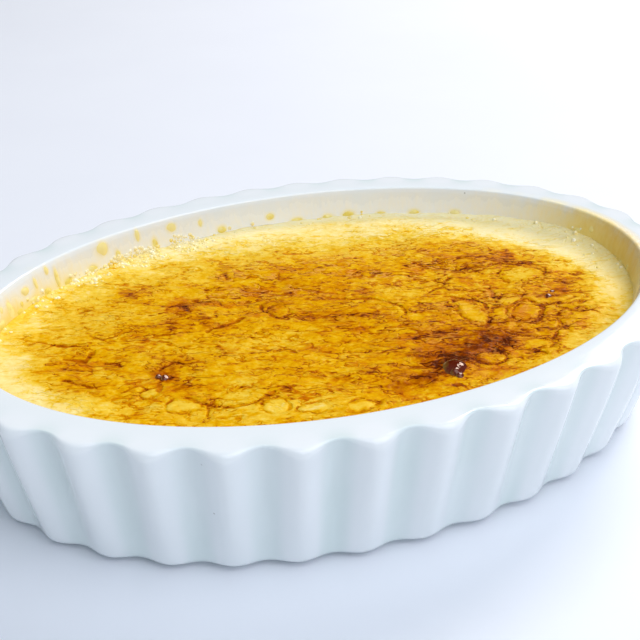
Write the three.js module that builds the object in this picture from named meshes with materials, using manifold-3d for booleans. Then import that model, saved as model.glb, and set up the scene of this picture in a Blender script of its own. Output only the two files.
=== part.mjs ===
// A baked custard with a browned, wrinkled skin, set in an oval porcelain dish with a fluted outside wall.
// Millimetres, +Z up, +X along the oval. The origin is under the middle of the dish, on the surface that
// its foot ring stands on.
import * as THREE from 'three';
import { mergeVertices } from 'three/addons/utils/BufferGeometryUtils.js';
import Module from 'manifold-3d';

const wasm = await Module();
wasm.setup();

// ---- Driving dimensions ---------------------------------------------------------------------------------

const MOUTH_LENGTH = 125; // inner edge of the rim, along X
const MOUTH_WIDTH = 82.5; // the same, along Y
const RIM_WIDTH = 6.6; // from the mouth to the middle line of the flutes
const DISH_HEIGHT = 26.9;

const FOOT_HEIGHT = 1; // the wall's lower edge hangs this far above the table
const LOWER_ROUND_RISE = 1.6; // rounding of the wall's lower edge, up the wall
const LOWER_ROUND_INSET = 0.9; // the same, inwards under the wall
const FOOT_INSET = 3.4; // the foot ring stands back this far from the wall's lower edge
const FOOT_WIDTH = 3.5;
const BASE_RECESS = 0.9; // the base inside the foot ring clears the table by this much
const FLOOR_TOP = 4.6; // the dish's floor, above the table

const OUTER_TAPER = 5.1; // the wall's lower edge lies this far in from the rim's
const INNER_SLOPE = 0.24; // the inner wall comes in by this much for each unit down
const INNER_LEAN = Math.atan(INNER_SLOPE);
const FLOOR_FILLET = 5; // between the inner wall and the floor
const MOUTH_ROUND = 1.1; // rounding of the mouth's edge
const CREST_ROUND = 1.6; // rounding of the rim's outer edge on a flute's crest
const GROOVE_ROUND = 0.4; // the same in a groove, where the edge is crisp

const FLUTES = 34;
const FLUTE_AT_RIM = 1.15; // half of the flutes' depth, from crest to groove
const FLUTE_DEEPEST = 1.35;
const FLUTE_AT_BASE = 0.55;
const FLUTE_DEEPEST_DROP = 5; // the flutes are deepest this far below the rim
const WALL_HEIGHTS = [8, 14, 19, 21.9, 23.6]; // where the wall's curved flutes have stations

const CUSTARD_DROP = 6; // the custard's middle lies this far below the rim
const CUSTARD_GAP = 0.3; // clear of the dish all round
const MENISCUS_HEIGHT = 0.5; // how far the custard climbs the wall
const MENISCUS_REACH = 3.5; // how far in from the wall the climb can be seen
const MENISCUS_BREAK = 0.35; // the share of that reach where the climb's curve has its station

const DISH_STEPS = FLUTES * 6;
const BOWL_STEPS = 96;
const CUSTARD_RINGS = 14;
const ARC_STEPS = 3;

// ---- The oval ---------------------------------------------------------------------------------------------

/** The mouth's ellipse, pushed outwards square to itself by `outset`. Its parameter runs once round from +X. */
class Oval extends THREE.Curve {
  constructor(outset = 0) {
    super();
    this.outset = outset;
    this.arcLengthDivisions = 1440;
  }

  getPoint(turn, target = new THREE.Vector3()) {
    const cos = Math.cos(2 * Math.PI * turn);
    const sin = Math.sin(2 * Math.PI * turn);
    const outward = new THREE.Vector3(MOUTH_WIDTH * cos, MOUTH_LENGTH * sin, 0).normalize();
    return target.set((MOUTH_LENGTH / 2) * cos, (MOUTH_WIDTH / 2) * sin, 0).addScaledVector(outward, this.outset);
  }
}

const rimLine = new Oval(RIM_WIDTH);

/** The oval's parameter at an even share of the way round the rim, so that all flutes are equally wide. */
const turnAtShare = (share) => rimLine.getUtoTmapping(share);

/** Crests and grooves round the wall: -1 in a groove, 1 on a crest, with a groove on each end of the X axis. */
const fluteWave = (share) => -Math.cos(2 * Math.PI * FLUTES * share);

// ---- Shaping ----------------------------------------------------------------------------------------------

/**
 * Turns a profile on the lathe and presses the round blank to the oval.
 * Each station is { outset, height } with `outset` measured from the mouth, and may have
 *   scale: below 1 for the stations of a floor or a top, which shrink towards the middle,
 *   relief: how much of the function `relief(x, y)` is added to its height.
 * A station that differs between the flutes' crests and grooves is a function of the flute wave instead.
 * A profile runs from the axis at the bottom, up the outside, and back to the axis at the top.
 */
function pressOval(stations, steps, relief = () => 0) {
  const onWave = (station, wave) => (typeof station === 'function' ? station(wave) : station);
  const profile = stations.map((station) => {
    const { outset, height, scale = 1 } = onWave(station, 0);
    return new THREE.Vector2((MOUTH_LENGTH / 2 + outset) * scale, height);
  });
  const geometry = new THREE.LatheGeometry(profile, steps);
  const position = geometry.getAttribute('position');
  for (let i = 0; i < position.count; i++) {
    const share = (Math.floor(i / stations.length) % steps) / steps;
    const station = onWave(stations[i % stations.length], fluteWave(share));
    const { outset, height, scale = 1, relief: reliefShare = 0 } = station;
    const point = new Oval(outset).getPoint(turnAtShare(share)).multiplyScalar(scale);
    position.setXYZ(i, point.x, point.y, height + reliefShare * relief(point.x, point.y));
  }
  return closedBody(geometry);
}

/** Joins the seam and the poles, and drops the triangles that shrink to nothing there. */
function closedBody(geometry) {
  geometry.deleteAttribute('normal');
  geometry.deleteAttribute('uv');
  const merged = mergeVertices(geometry, 1e-4);
  const corners = Array.from(merged.getIndex().array);
  const kept = [];
  for (let i = 0; i < corners.length; i += 3) {
    const [a, b, c] = corners.slice(i, i + 3);
    if (a !== b && b !== c && c !== a) kept.push(a, b, c);
  }
  merged.setIndex(kept);
  return merged;
}

/** Cuts the body `tool` out of the body `blank`. */
function cut(blank, tool) {
  const [kept, removed] = [blank, tool].map(
    (geometry) =>
      new wasm.Manifold(
        new wasm.Mesh({
          numProp: 3,
          vertProperties: geometry.getAttribute('position').array,
          triVerts: new Uint32Array(geometry.getIndex().array),
        }),
      ),
  );
  const result = kept.subtract(removed).getMesh();
  const geometry = new THREE.BufferGeometry();
  geometry.setAttribute('position', new THREE.BufferAttribute(result.vertProperties, 3));
  geometry.setIndex(new THREE.BufferAttribute(result.triVerts, 1));
  return geometry;
}

/** Stations of an arc about a centre, from the angle `start` to `end`; 0 points outwards and a quarter turn up. */
function arc(centreOutset, centreHeight, radius, start, end) {
  return Array.from({ length: ARC_STEPS + 1 }, (_, i) => {
    const angle = THREE.MathUtils.lerp(start, end, i / ARC_STEPS);
    return { outset: centreOutset + radius * Math.cos(angle), height: centreHeight + radius * Math.sin(angle) };
  });
}

// ---- The dish ---------------------------------------------------------------------------------------------

/** The middle line of the fluted wall, at a height above the table. */
const wallOutset = (height) =>
  RIM_WIDTH - (OUTER_TAPER * (DISH_HEIGHT - height)) / (DISH_HEIGHT - FOOT_HEIGHT);

/** Half the flutes' depth at a height: deepest a little below the rim, and shallower towards both edges. */
function fluteDepth(height) {
  const deepest = DISH_HEIGHT - FLUTE_DEEPEST_DROP;
  const [edge, edgeDepth] = height > deepest ? [DISH_HEIGHT, FLUTE_AT_RIM] : [FOOT_HEIGHT, FLUTE_AT_BASE];
  const share = THREE.MathUtils.clamp((height - edge) / (deepest - edge), 0, 1);
  return THREE.MathUtils.lerp(edgeDepth, FLUTE_DEEPEST, Math.sin((Math.PI / 2) * share));
}

/** A station of the fluted wall, set in by `inset` where an edge is rounded. */
const wallStation = (height, inset = 0) => (wave) => ({
  outset: wallOutset(height) - inset + fluteDepth(height) * wave,
  height,
});

/** A station of the rim's outer edge. `turn` goes from 0 on the wall to 1 on the rim's flat top. */
const rimEdgeStation = (turn) => (wave) => {
  const radius = THREE.MathUtils.mapLinear(wave, -1, 1, GROOVE_ROUND, CREST_ROUND);
  const height = DISH_HEIGHT - radius * (1 - Math.sin((Math.PI / 2) * turn));
  return wallStation(height, radius * (1 - Math.cos((Math.PI / 2) * turn)))(wave);
};

/** The dish before its bowl is hollowed out: recessed base, foot ring, fluted wall and flat top. */
function dishBlank() {
  const base = wallOutset(FOOT_HEIGHT);
  const footOuter = base - FOOT_INSET;
  const footInner = footOuter - FOOT_WIDTH;
  const wallHeights = [FOOT_HEIGHT + LOWER_ROUND_RISE, ...WALL_HEIGHTS];
  return pressOval(
    [
      { outset: footInner, height: BASE_RECESS, scale: 0 },
      { outset: footInner - BASE_RECESS, height: BASE_RECESS },
      { outset: footInner, height: 0 },
      { outset: footOuter, height: 0 },
      { outset: footOuter + FOOT_HEIGHT / 2, height: FOOT_HEIGHT },
      wallStation(FOOT_HEIGHT, LOWER_ROUND_INSET),
      wallStation(FOOT_HEIGHT + 0.3 * LOWER_ROUND_RISE, 0.3 * LOWER_ROUND_INSET),
      ...wallHeights.map((height) => wallStation(height)),
      ...[0, 0.35, 0.7, 1].map(rimEdgeStation),
      { outset: 0, height: DISH_HEIGHT, scale: 0 },
    ],
    DISH_STEPS,
  );
}

/** The inner wall's outset at a height: at the mouth it is 0, and it comes in downwards. */
const bowlOutset = (height) => -INNER_SLOPE * (DISH_HEIGHT - height);

/** The inner wall's fillet to the floor, for a bowl that is smaller all round by `gap`. */
function bowlFillet(gap) {
  const centreHeight = FLOOR_TOP + FLOOR_FILLET;
  const centreOutset = bowlOutset(centreHeight) - FLOOR_FILLET / Math.cos(INNER_LEAN);
  return arc(centreOutset, centreHeight, FLOOR_FILLET - gap, -Math.PI / 2, -INNER_LEAN);
}

/** The hollow of the dish, with a mouth that flares into the rim's rounded inner edge. */
function bowlTool() {
  const fillet = bowlFillet(0);
  const mouth = arc(MOUTH_ROUND, DISH_HEIGHT - MOUTH_ROUND, MOUTH_ROUND, Math.PI - INNER_LEAN, Math.PI / 2);
  const overRim = DISH_HEIGHT + MOUTH_ROUND;
  return pressOval(
    [
      { outset: fillet[0].outset, height: FLOOR_TOP, scale: 0 },
      ...fillet,
      ...mouth,
      { outset: MOUTH_ROUND, height: overRim },
      { outset: 0, height: overRim, scale: 0 },
    ],
    BOWL_STEPS,
  );
}

function makeDish() {
  const glazedPorcelain = new THREE.MeshStandardMaterial({ color: 0xe9edf4, roughness: 0.18, metalness: 0 });
  const mesh = new THREE.Mesh(cut(dishBlank(), bowlTool()), glazedPorcelain);
  mesh.name = 'dish';
  return mesh;
}

// ---- The custard ------------------------------------------------------------------------------------------

/** Long, low swells of the browned skin: each is { length of wave, direction in degrees, height, start }. */
const SWELLS = [
  { length: 31, direction: 20, height: 0.16, start: 0.4 },
  { length: 19, direction: 75, height: 0.12, start: 2.1 },
  { length: 12.5, direction: 130, height: 0.1, start: 4.0 },
  { length: 9, direction: 48, height: 0.07, start: 1.2 },
];

/** Places where the sugar caught and the skin blistered: middle, breadth and height. */
const BLISTERS = [
  { x: 13, y: -26, breadth: 7, height: 0.35 },
  { x: 24, y: -9, breadth: 7, height: 0.25 },
  { x: -24, y: 9.5, breadth: 8, height: 0.25 },
  { x: 43, y: 3, breadth: 8, height: 0.25 },
];

/** Height of the browned skin above the custard's level. */
function skinRelief(x, y) {
  const swell = SWELLS.reduce((sum, { length, direction, height, start }) => {
    const angle = THREE.MathUtils.degToRad(direction);
    const along = x * Math.cos(angle) + y * Math.sin(angle);
    return sum + height * Math.sin((2 * Math.PI * along) / length + start);
  }, 0);
  return BLISTERS.reduce((sum, blister) => {
    const distance = Math.hypot(x - blister.x, y - blister.y) / (blister.breadth / 2);
    return sum + blister.height * Math.exp(-distance * distance);
  }, swell);
}

/** The custard: it fills the bowl up to its level, climbs the wall a little, and its top carries the relief. */
function makeCustard() {
  const level = DISH_HEIGHT - CUSTARD_DROP;
  const wallGap = CUSTARD_GAP / Math.cos(INNER_LEAN);
  const fillet = bowlFillet(CUSTARD_GAP);
  const edgeHeight = level + MENISCUS_HEIGHT;
  const edgeOutset = bowlOutset(edgeHeight) - wallGap;
  const meniscus = [MENISCUS_BREAK, 1].map((share) => ({
    outset: edgeOutset - MENISCUS_REACH * share,
    height: level + MENISCUS_HEIGHT * (1 - share) ** 2,
    relief: share,
  }));
  const top = Array.from({ length: CUSTARD_RINGS }, (_, i) => ({
    outset: edgeOutset - MENISCUS_REACH,
    height: level,
    scale: 1 - (i + 1) / CUSTARD_RINGS,
    relief: 1,
  }));
  const body = pressOval(
    [
      { outset: fillet[0].outset, height: FLOOR_TOP + CUSTARD_GAP, scale: 0 },
      ...fillet,
      { outset: edgeOutset, height: edgeHeight },
      ...meniscus,
      ...top,
    ],
    BOWL_STEPS,
    skinRelief,
  );
  const brownedCustard = new THREE.MeshStandardMaterial({ color: 0xe0a227, roughness: 0.35, metalness: 0 });
  const mesh = new THREE.Mesh(body, brownedCustard);
  mesh.name = 'custard';
  return mesh;
}

// ---- The whole --------------------------------------------------------------------------------------------

const cremeBrulee = new THREE.Group();
cremeBrulee.name = 'creme_brulee';
cremeBrulee.add(makeDish(), makeCustard());
for (const mesh of cremeBrulee.children) mesh.geometry.computeVertexNormals();

export default cremeBrulee;
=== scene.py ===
"""Looks of a creme brulee baked in an oval fluted porcelain dish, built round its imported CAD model.

Sizes are in millimetres, as a potter and a cook would give them; meshes are made in metres. The frame is
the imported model's: +Z up, +X along the oval, the origin under the middle of the dish, on the surface that
its foot stands on.
"""

import logging
import math
from dataclasses import dataclass, field
from enum import Enum
from functools import partial
from typing import Callable, Sequence

import bpy
import numpy as np
from mathutils import Matrix, Vector


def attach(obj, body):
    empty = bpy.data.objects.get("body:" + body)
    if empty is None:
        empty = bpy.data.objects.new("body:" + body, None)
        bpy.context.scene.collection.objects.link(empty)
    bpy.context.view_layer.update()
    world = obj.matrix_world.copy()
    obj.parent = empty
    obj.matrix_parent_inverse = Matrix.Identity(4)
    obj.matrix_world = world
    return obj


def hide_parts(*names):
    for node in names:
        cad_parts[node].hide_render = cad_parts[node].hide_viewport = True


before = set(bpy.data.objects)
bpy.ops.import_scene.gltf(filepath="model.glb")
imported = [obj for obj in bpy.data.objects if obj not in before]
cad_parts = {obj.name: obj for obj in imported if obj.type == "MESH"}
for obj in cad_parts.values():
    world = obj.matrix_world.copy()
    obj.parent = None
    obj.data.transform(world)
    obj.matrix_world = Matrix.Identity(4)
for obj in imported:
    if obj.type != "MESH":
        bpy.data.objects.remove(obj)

LOG = logging.getLogger("creme_brulee")
MM = 0.001

Array = np.ndarray
AddNode = Callable[..., bpy.types.Node]

# How high the custard's middle stands above the table, in millimetres.
CUSTARD_LEVEL = 20.9

# How far away a crease is taken to be where there is none near, in millimetres.
FAR_MM = 4.0


class Slot(Enum):
    """The material slots' names."""

    PORCELAIN = "glazed_porcelain"
    CUSTARD = "browned_custard"


# The nodes that the finishes use most.
MATH = "ShaderNodeMath"
VECTOR = "ShaderNodeVectorMath"
MIX = "ShaderNodeMix"
RANGE = "ShaderNodeMapRange"
NOISE = "ShaderNodeTexNoise"
ATTRIBUTE = "ShaderNodeAttribute"
COORDINATES = "ShaderNodeTexCoord"
BUMP = "ShaderNodeBump"
KEPT = "GeometryNodeInputNamedAttribute"


# ---- Small shared tools --------------------------------------------------------------------------


def linear(hex_colour: str) -> tuple[float, float, float, float]:
    """Turns an sRGB hex colour into the linear colour that a shader takes.

    Args:
        hex_colour: The colour, such as "#E8A020".

    Returns:
        Red, green, blue and an alpha of 1.
    """
    parts = [int(hex_colour[i : i + 2], 16) / 255 for i in (1, 3, 5)]
    red, green, blue = (c / 12.92 if c <= 0.04045 else ((c + 0.055) / 1.055) ** 2.4 for c in parts)
    return red, green, blue, 1.0


def add_node(
    tree: bpy.types.NodeTree, kind: str, inputs: Sequence | dict | None = None, **settings: object
) -> bpy.types.Node:
    """Adds a node to a tree, with its settings and what feeds its inputs.

    Args:
        tree: The tree that gets the node.
        kind: The node's type name.
        inputs: For each input, in order or by name or number, a value, a socket, or a node whose first output
            feeds it. None leaves an input as it is.
        settings: Values for the node's own properties.

    Returns:
        The node.
    """
    made = tree.nodes.new(kind)
    for key, value in settings.items():
        setattr(made, key, value)
    named = inputs if isinstance(inputs, dict) else dict(enumerate(inputs or ()))
    for key, value in named.items():
        if isinstance(value, bpy.types.Node):
            value = value.outputs[0]
        if isinstance(value, bpy.types.NodeSocket):
            tree.links.new(value, made.inputs[key])
        elif value is not None:
            made.inputs[key].default_value = value
    return made


@dataclass(frozen=True)
class Finish:
    """A material made of nodes, whose patterns are laid out in millimetres on the piece."""

    name: str = "finish"

    def start(self) -> tuple[bpy.types.Material, AddNode, bpy.types.Node, bpy.types.Node]:
        """Begins the material.

        Returns:
            The material, the call that adds a node to it, its shader, and the node that gives the place in
            millimetres.
        """
        material = bpy.data.materials.new(self.name)
        material.use_nodes = True
        node = partial(add_node, material.node_tree)
        coordinates = node(COORDINATES).outputs["Object"]
        place_mm = node(VECTOR, {0: coordinates, "Scale": 1 / MM}, operation="SCALE")
        return material, node, material.node_tree.nodes["Principled BSDF"], place_mm


def feed(
    owner: bpy.types.Material | bpy.types.World,
    shader: bpy.types.Node,
    sources: dict[str, bpy.types.NodeSocket],
    values: dict[str, object] | None = None,
) -> None:
    """Joins sources to a shader's sockets, and sets plain values on others.

    Args:
        owner: The material or world.
        shader: Its shader.
        sources: For each socket, the output that feeds it.
        values: For each socket, the value that holds all over the surface.
    """
    for name, source in sources.items():
        owner.node_tree.links.new(source, shader.inputs[name])
    for name, value in (values or {}).items():
        shader.inputs[name].default_value = value


def smoothstep(low: float | Array, high: float | Array, value: Array) -> Array:
    """Rises smoothly from 0 at `low` to 1 at `high`.

    Args:
        low: Where the rise starts.
        high: Where it ends.
        value: The numbers to map.

    Returns:
        The mapped numbers.
    """
    share = np.clip((value - low) / (high - low), 0.0, 1.0)
    return share * share * (3 - 2 * share)


@dataclass(frozen=True)
class Grain:
    """Smooth seeded noise over a plane, with bumps of one size. The gain brings it to about -1 to 1."""

    wavelength: float
    seed: int
    lattice: int = 128
    gain: float = 1.6

    def at(self, x: Array, y: Array) -> Array:
        """Reads the noise.

        Args:
            x: Places along X, in millimetres.
            y: Places along Y, in millimetres.

        Returns:
            The noise at each place.
        """
        angles = np.random.default_rng(self.seed).uniform(0, 2 * math.pi, (self.lattice, self.lattice))
        across, up = np.asarray(x) / self.wavelength, np.asarray(y) / self.wavelength
        column, row = np.floor(across).astype(int), np.floor(up).astype(int)
        right, top = across - column, up - row
        ease_x, ease_y = (t**3 * (t * (6 * t - 15) + 10) for t in (right, top))

        def corner(dx: int, dy: int) -> Array:
            """The pull of one corner of the lattice cell."""
            angle = angles[(column + dx) % self.lattice, (row + dy) % self.lattice]
            return np.cos(angle) * (right - dx) + np.sin(angle) * (top - dy)

        low = corner(0, 0) * (1 - ease_x) + corner(1, 0) * ease_x
        high = corner(0, 1) * (1 - ease_x) + corner(1, 1) * ease_x
        return self.gain * (low * (1 - ease_y) + high * ease_y)


def drag(x: Array, y: Array, reach: float, wavelength: float, seed: int) -> Array:
    """How the setting skin dragged its patterns about.

    Args:
        x: Places along X, in millimetres.
        y: Places along Y.
        reach: The longest way that it dragged them.
        wavelength: The size of what moved together.
        seed: What makes this pattern its own.

    Returns:
        Two rows, the way along X and along Y of each place.
    """
    return reach * np.stack([Grain(wavelength, seed + row).at(x, y) for row in (0, 1)])


def mesh_from(name: str, points: Array, faces: Sequence[Sequence[int]]) -> bpy.types.Mesh:
    """Makes a smooth-shaded mesh from points in millimetres.

    Args:
        name: The mesh's name.
        points: One row of three numbers for each vertex.
        faces: The corners of each face.

    Returns:
        The mesh, in metres.
    """
    mesh = bpy.data.meshes.new(name)
    mesh.from_pydata((np.asarray(points) * MM).tolist(), [], faces)
    mesh.polygons.foreach_set("use_smooth", [True] * len(mesh.polygons))
    mesh.update()
    return mesh


def band(first: Array, second: Array, turned: bool = False) -> list[list[int]]:
    """Joins two rings of vertices by faces.

    Args:
        first: The numbers of one ring's vertices, in order round it.
        second: The other ring's, or one vertex's number as many times.
        turned: Whether the faces look the other way.

    Returns:
        The corners of each face.
    """
    loops = np.stack([first, np.roll(first, -1), np.roll(second, -1), second], -1).tolist()
    if turned:
        loops = [[a, d, c, b] for a, b, c, d in loops]
    return [list(dict.fromkeys(loop)) for loop in loops]


def store(mesh: bpy.types.Mesh, name: str, values: Array) -> None:
    """Keeps numbers or vectors on a mesh's vertices under a name.

    Args:
        mesh: The mesh.
        name: The attribute's name.
        values: One number, or one row of three, for each vertex.
    """
    values = np.asarray(values, np.float32)
    is_vector = values.ndim == 2
    attribute = mesh.attributes.new(name, "FLOAT_VECTOR" if is_vector else "FLOAT", "POINT")
    attribute.data.foreach_set("vector" if is_vector else "value", values.ravel())


def place(name: str, mesh: bpy.types.Mesh, stands_for: Sequence[str] = ()) -> bpy.types.Object:
    """Puts a finished mesh in the scene as a piece of the object.

    Args:
        name: The piece's name.
        mesh: Its finished mesh.
        stands_for: The CAD nodes that it replaces.

    Returns:
        The piece.
    """
    mesh.name = name
    piece = bpy.data.objects.new(name, mesh)
    bpy.context.scene.collection.objects.link(piece)
    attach(piece, "root")
    if stands_for:
        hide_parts(*stands_for)
    triangles = sum(len(p.vertices) - 2 for p in mesh.polygons)
    LOG.info("%s: %d vertices, %d triangles", name, len(mesh.vertices), triangles)
    return piece


class Growth:
    """A geometry tree with named inputs, which is run once on a mesh."""

    def __init__(self, name: str, values: dict[str, object]) -> None:
        """Begins the tree, with an input for each value.

        Args:
            name: The tree's name.
            values: For each input, its value: a number, or the material that the result takes.
        """
        self.values = values
        self.tree = bpy.data.node_groups.new(name, "GeometryNodeTree")
        add_socket = self.tree.interface.new_socket
        add_socket("Geometry", in_out="INPUT", socket_type="NodeSocketGeometry")
        for key, value in values.items():
            # The kinds of socket are NodeSocketFloat, NodeSocketInt and NodeSocketMaterial.
            add_socket(key, in_out="INPUT", socket_type="NodeSocket" + type(value).__name__.capitalize())
        add_socket("Geometry", in_out="OUTPUT", socket_type="NodeSocketGeometry")
        self.node = partial(add_node, self.tree)
        self.given = self.node("NodeGroupInput").outputs

    def run(self, geometry: bpy.types.Node, mesh: bpy.types.Mesh) -> bpy.types.Mesh:
        """Ends the tree, runs it on a mesh and takes its result as a plain mesh.

        Args:
            geometry: The node that gives the tree's shape.
            mesh: The mesh that the tree starts from.

        Returns:
            The new mesh, with its attributes and material.
        """
        realized = self.node("GeometryNodeRealizeInstances", {"Geometry": geometry})
        dressing = {"Geometry": realized, "Material": self.given["Material"]}
        dressed = self.node("GeometryNodeSetMaterial", dressing)
        self.node("NodeGroupOutput", {"Geometry": dressed})
        base = bpy.data.objects.new(mesh.name + "_base", mesh)
        bpy.context.scene.collection.objects.link(base)
        modifier = base.modifiers.new(self.tree.name, "NODES")
        modifier.node_group = self.tree
        for item in self.tree.interface.items_tree:
            if item.name in self.values:
                modifier[item.identifier] = self.values[item.name]
        depsgraph = bpy.context.evaluated_depsgraph_get()
        grown = bpy.data.meshes.new_from_object(
            base.evaluated_get(depsgraph), preserve_all_data_layers=True, depsgraph=depsgraph
        )
        base.modifiers.remove(modifier)
        bpy.data.objects.remove(base)
        return grown


# ---- The oval that the dish and the custard share ------------------------------------------------


@dataclass(frozen=True)
class Oval:
    """The mouth's ellipse, and the curves that run round it at an even distance.

    A `turn` is the ellipse's parameter, from 0 to 1 once round from +X.
    """

    half_length: float = 62.5
    half_width: float = 41.25
    measured_points: int = 14401

    def outward(self, turn: Array) -> Array:
        """Finds the direction square to the oval.

        Args:
            turn: Where on the oval.

        Returns:
            Rows of X and Y, each of length 1.
        """
        angle = 2 * math.pi * np.asarray(turn)
        normal = np.stack([self.half_width * np.cos(angle), self.half_length * np.sin(angle)], -1)
        return normal / np.linalg.norm(normal, axis=-1, keepdims=True)

    def points(self, turn: Array, outset: float | Array) -> Array:
        """Finds points at a distance outside the mouth.

        Args:
            turn: Where on the oval.
            outset: How far outside the mouth each point lies.

        Returns:
            Rows of X and Y.
        """
        angle = 2 * math.pi * np.asarray(turn)
        mouth = np.stack([self.half_length * np.cos(angle), self.half_width * np.sin(angle)], -1)
        return mouth + self.outward(turn) * np.asarray(outset)[..., None]

    def stretch(self, turn: float) -> float:
        """How fast the mouth's curve runs at a place, in millimetres for a whole turn."""
        angle = 2 * math.pi * turn
        return 2 * math.pi * math.hypot(self.half_length * math.sin(angle), self.half_width * math.cos(angle))

    def even_turns(self, steps: int, outset: float) -> Array:
        """Finds turns that lie at even distances along the curve at an outset.

        Args:
            steps: How many there are.
            outset: Which curve they are measured on.

        Returns:
            The turns, from 0 up to but not including 1.
        """
        fine = np.linspace(0, 1, self.measured_points)
        chords = np.linalg.norm(np.diff(self.points(fine, outset), axis=0), axis=1)
        travelled = np.concatenate([[0], np.cumsum(chords)])
        return np.interp(np.arange(steps) / steps * travelled[-1], travelled, fine)


@dataclass(frozen=True)
class Bowl:
    """The hollow of the dish: its leaning wall, its fillet and its flat floor."""

    oval: Oval = Oval()
    rim_height: float = 26.9
    floor_height: float = 4.6
    slope: float = 0.24
    fillet: float = 5.0

    def outset(self, height: float | Array) -> float | Array:
        """How far outside the mouth the inner wall lies at a height; it is below 0 inside."""
        return -self.slope * (self.rim_height - height)

    def fillet_stations(self, gap: float, steps: int) -> list[tuple[float, float]]:
        """The curve from the wall down to the floor.

        Args:
            gap: How far inside the hollow the curve stays.
            steps: How many spans it has.

        Returns:
            Pairs of outset and height, from the top down.
        """
        lean = math.atan(self.slope)
        centre_height = self.floor_height + self.fillet
        centre_outset = self.outset(centre_height) - self.fillet / math.cos(lean)
        radius = self.fillet - gap
        angles = np.linspace(-lean, -math.pi / 2, steps + 1)
        return [(centre_outset + radius * math.cos(a), centre_height + radius * math.sin(a)) for a in angles]


# ---- Finishes ------------------------------------------------------------------------------------


@dataclass(frozen=True)
class GlazedPorcelain(Finish):
    """White porcelain, slip cast and dipped in clear glaze: a hard even gloss, painted darker and cooler in
    the flutes' grooves as painted shade.

    A film of baked-on custard lies on the inner wall. The attribute `film` says how thick it is, and
    `film_tone` how brown, from 0 for cream to 1 for gold. `flute` is -1 in a flute's groove and 1 on its
    crest.
    """

    name: str = "glazed porcelain"
    crest: str = "#F4F8FA"
    # The grooves' colour: painted shade.
    pooled: str = "#E1EDEC"
    body: str = "#EFF5F7"
    film_tones: tuple[tuple[float, str], ...] = (
        (0.0, "#FCFAF5"),
        (0.3, "#FFF3C8"),
        (0.6, "#FBE487"),
        (0.85, "#EEC850"),
        (1.0, "#DDAE30"),
    )
    speck: str = "#8E8A84"
    thinned_mm: float = 24.0
    waviness_mm: float = 9.0
    wave_depth_mm: float = 0.12
    speck_spacing_mm: float = 7.0
    speck_size_mm: float = 0.16
    streak_mm: float = 0.9
    crust_depth_mm: float = 0.15
    bare_roughness: float = 0.12
    film_roughness: float = 0.44

    def build(self) -> bpy.types.Material:
        """Builds the material.

        Returns:
            The material.
        """
        material, node, shader, place_mm = self.start()
        # Painted shade: the flutes' grooves are drawn darker and cooler than their crests. The glaze is also
        # thinner in places.
        flute, film, film_tone = (
            node(ATTRIBUTE, attribute_name=name).outputs["Fac"] for name in ("flute", "film", "film_tone")
        )
        crest = node(RANGE, [flute, -1.0, 0.4], interpolation_type="SMOOTHSTEP")
        glaze = node(MIX, {0: crest, 6: linear(self.pooled), 7: linear(self.crest)}, data_type="RGBA")
        patches = node(NOISE, {"Vector": place_mm, "Scale": 1 / self.thinned_mm, "Detail": 2.0})
        thinned = node(RANGE, [patches, 0.35, 0.65, 0.0, 0.6])
        uneven = node(MIX, {0: thinned, 6: glaze.outputs[2], 7: linear(self.body)}, data_type="RGBA")
        # Iron specks in the clay show as tiny grey dots.
        specks = node("ShaderNodeTexVoronoi", {"Vector": place_mm, "Scale": 1 / self.speck_spacing_mm})
        radius = self.speck_size_mm / self.speck_spacing_mm
        spot = [specks.outputs["Distance"], radius * 0.5, radius * 1.6, 0.7, 0.0]
        dot = node(RANGE, spot, interpolation_type="SMOOTHSTEP")
        speckled = node(MIX, {0: dot, 6: uneven.outputs[2], 7: linear(self.speck)}, data_type="RGBA")
        # Custard that boiled up and dried on the wall, drawn out into streaks that run down it. They show
        # most where the film is neither bare nor closed.
        upright = node(VECTOR, [place_mm, (1.0, 1.0, 0.3)], operation="MULTIPLY")
        streaking = {"Vector": upright, "Scale": 1 / self.streak_mm, "Detail": 3.0, "Roughness": 0.6}
        streaks = node(NOISE, streaking)
        streaked = node(MATH, [streaks, 0.6, -0.3], operation="MULTIPLY_ADD")
        open_film = node(RANGE, [film, 0.0, 0.5, 0.0, 1.0])
        closed_film = node(RANGE, [film, 0.6, 1.0, 1.0, 0.1])
        streak_share = node(MATH, [open_film, closed_film], operation="MULTIPLY")
        cover = node(MATH, [streaked, streak_share, film], operation="MULTIPLY_ADD", use_clamp=True)
        shade = node(MATH, [streaked, 0.35, film_tone], operation="MULTIPLY_ADD", use_clamp=True)
        ramp = node("ShaderNodeValToRGB", [shade])
        set_ramp(ramp, self.film_tones)
        coloured = node(MIX, {0: cover, 6: speckled.outputs[2], 7: ramp.outputs["Color"]}, data_type="RGBA")
        dull = node(RANGE, [cover, 0.0, 1.0, self.bare_roughness, self.film_roughness])
        wave = node(NOISE, {"Vector": place_mm, "Scale": 1 / self.waviness_mm, "Detail": 1.0})
        wavy = node(BUMP, {"Strength": 0.35, "Distance": self.wave_depth_mm * MM, "Height": wave})
        crust_depth = self.crust_depth_mm * MM
        crusted = node(BUMP, {"Strength": 0.6, "Distance": crust_depth, "Height": cover, "Normal": wavy})
        sources = {
            "Base Color": coloured.outputs[2],
            "Roughness": dull.outputs[0],
            "Normal": crusted.outputs[0],
        }
        feed(material, shader, sources, {"IOR": 1.5})
        return material


def set_ramp(ramp: bpy.types.Node, tones: Sequence[tuple[float, str]]) -> None:
    """Gives a colour ramp its colours.

    Args:
        ramp: The colour ramp node.
        tones: Pairs of place on the ramp and sRGB hex colour, in order.
    """
    stops = ramp.color_ramp.elements
    for place_on_ramp, _ in tones[1:-1]:
        stops.new(place_on_ramp)
    for stop, (place_on_ramp, tone) in zip(sorted(stops, key=lambda s: s.position), tones):
        stop.position = place_on_ramp
        stop.color = linear(tone)


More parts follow.
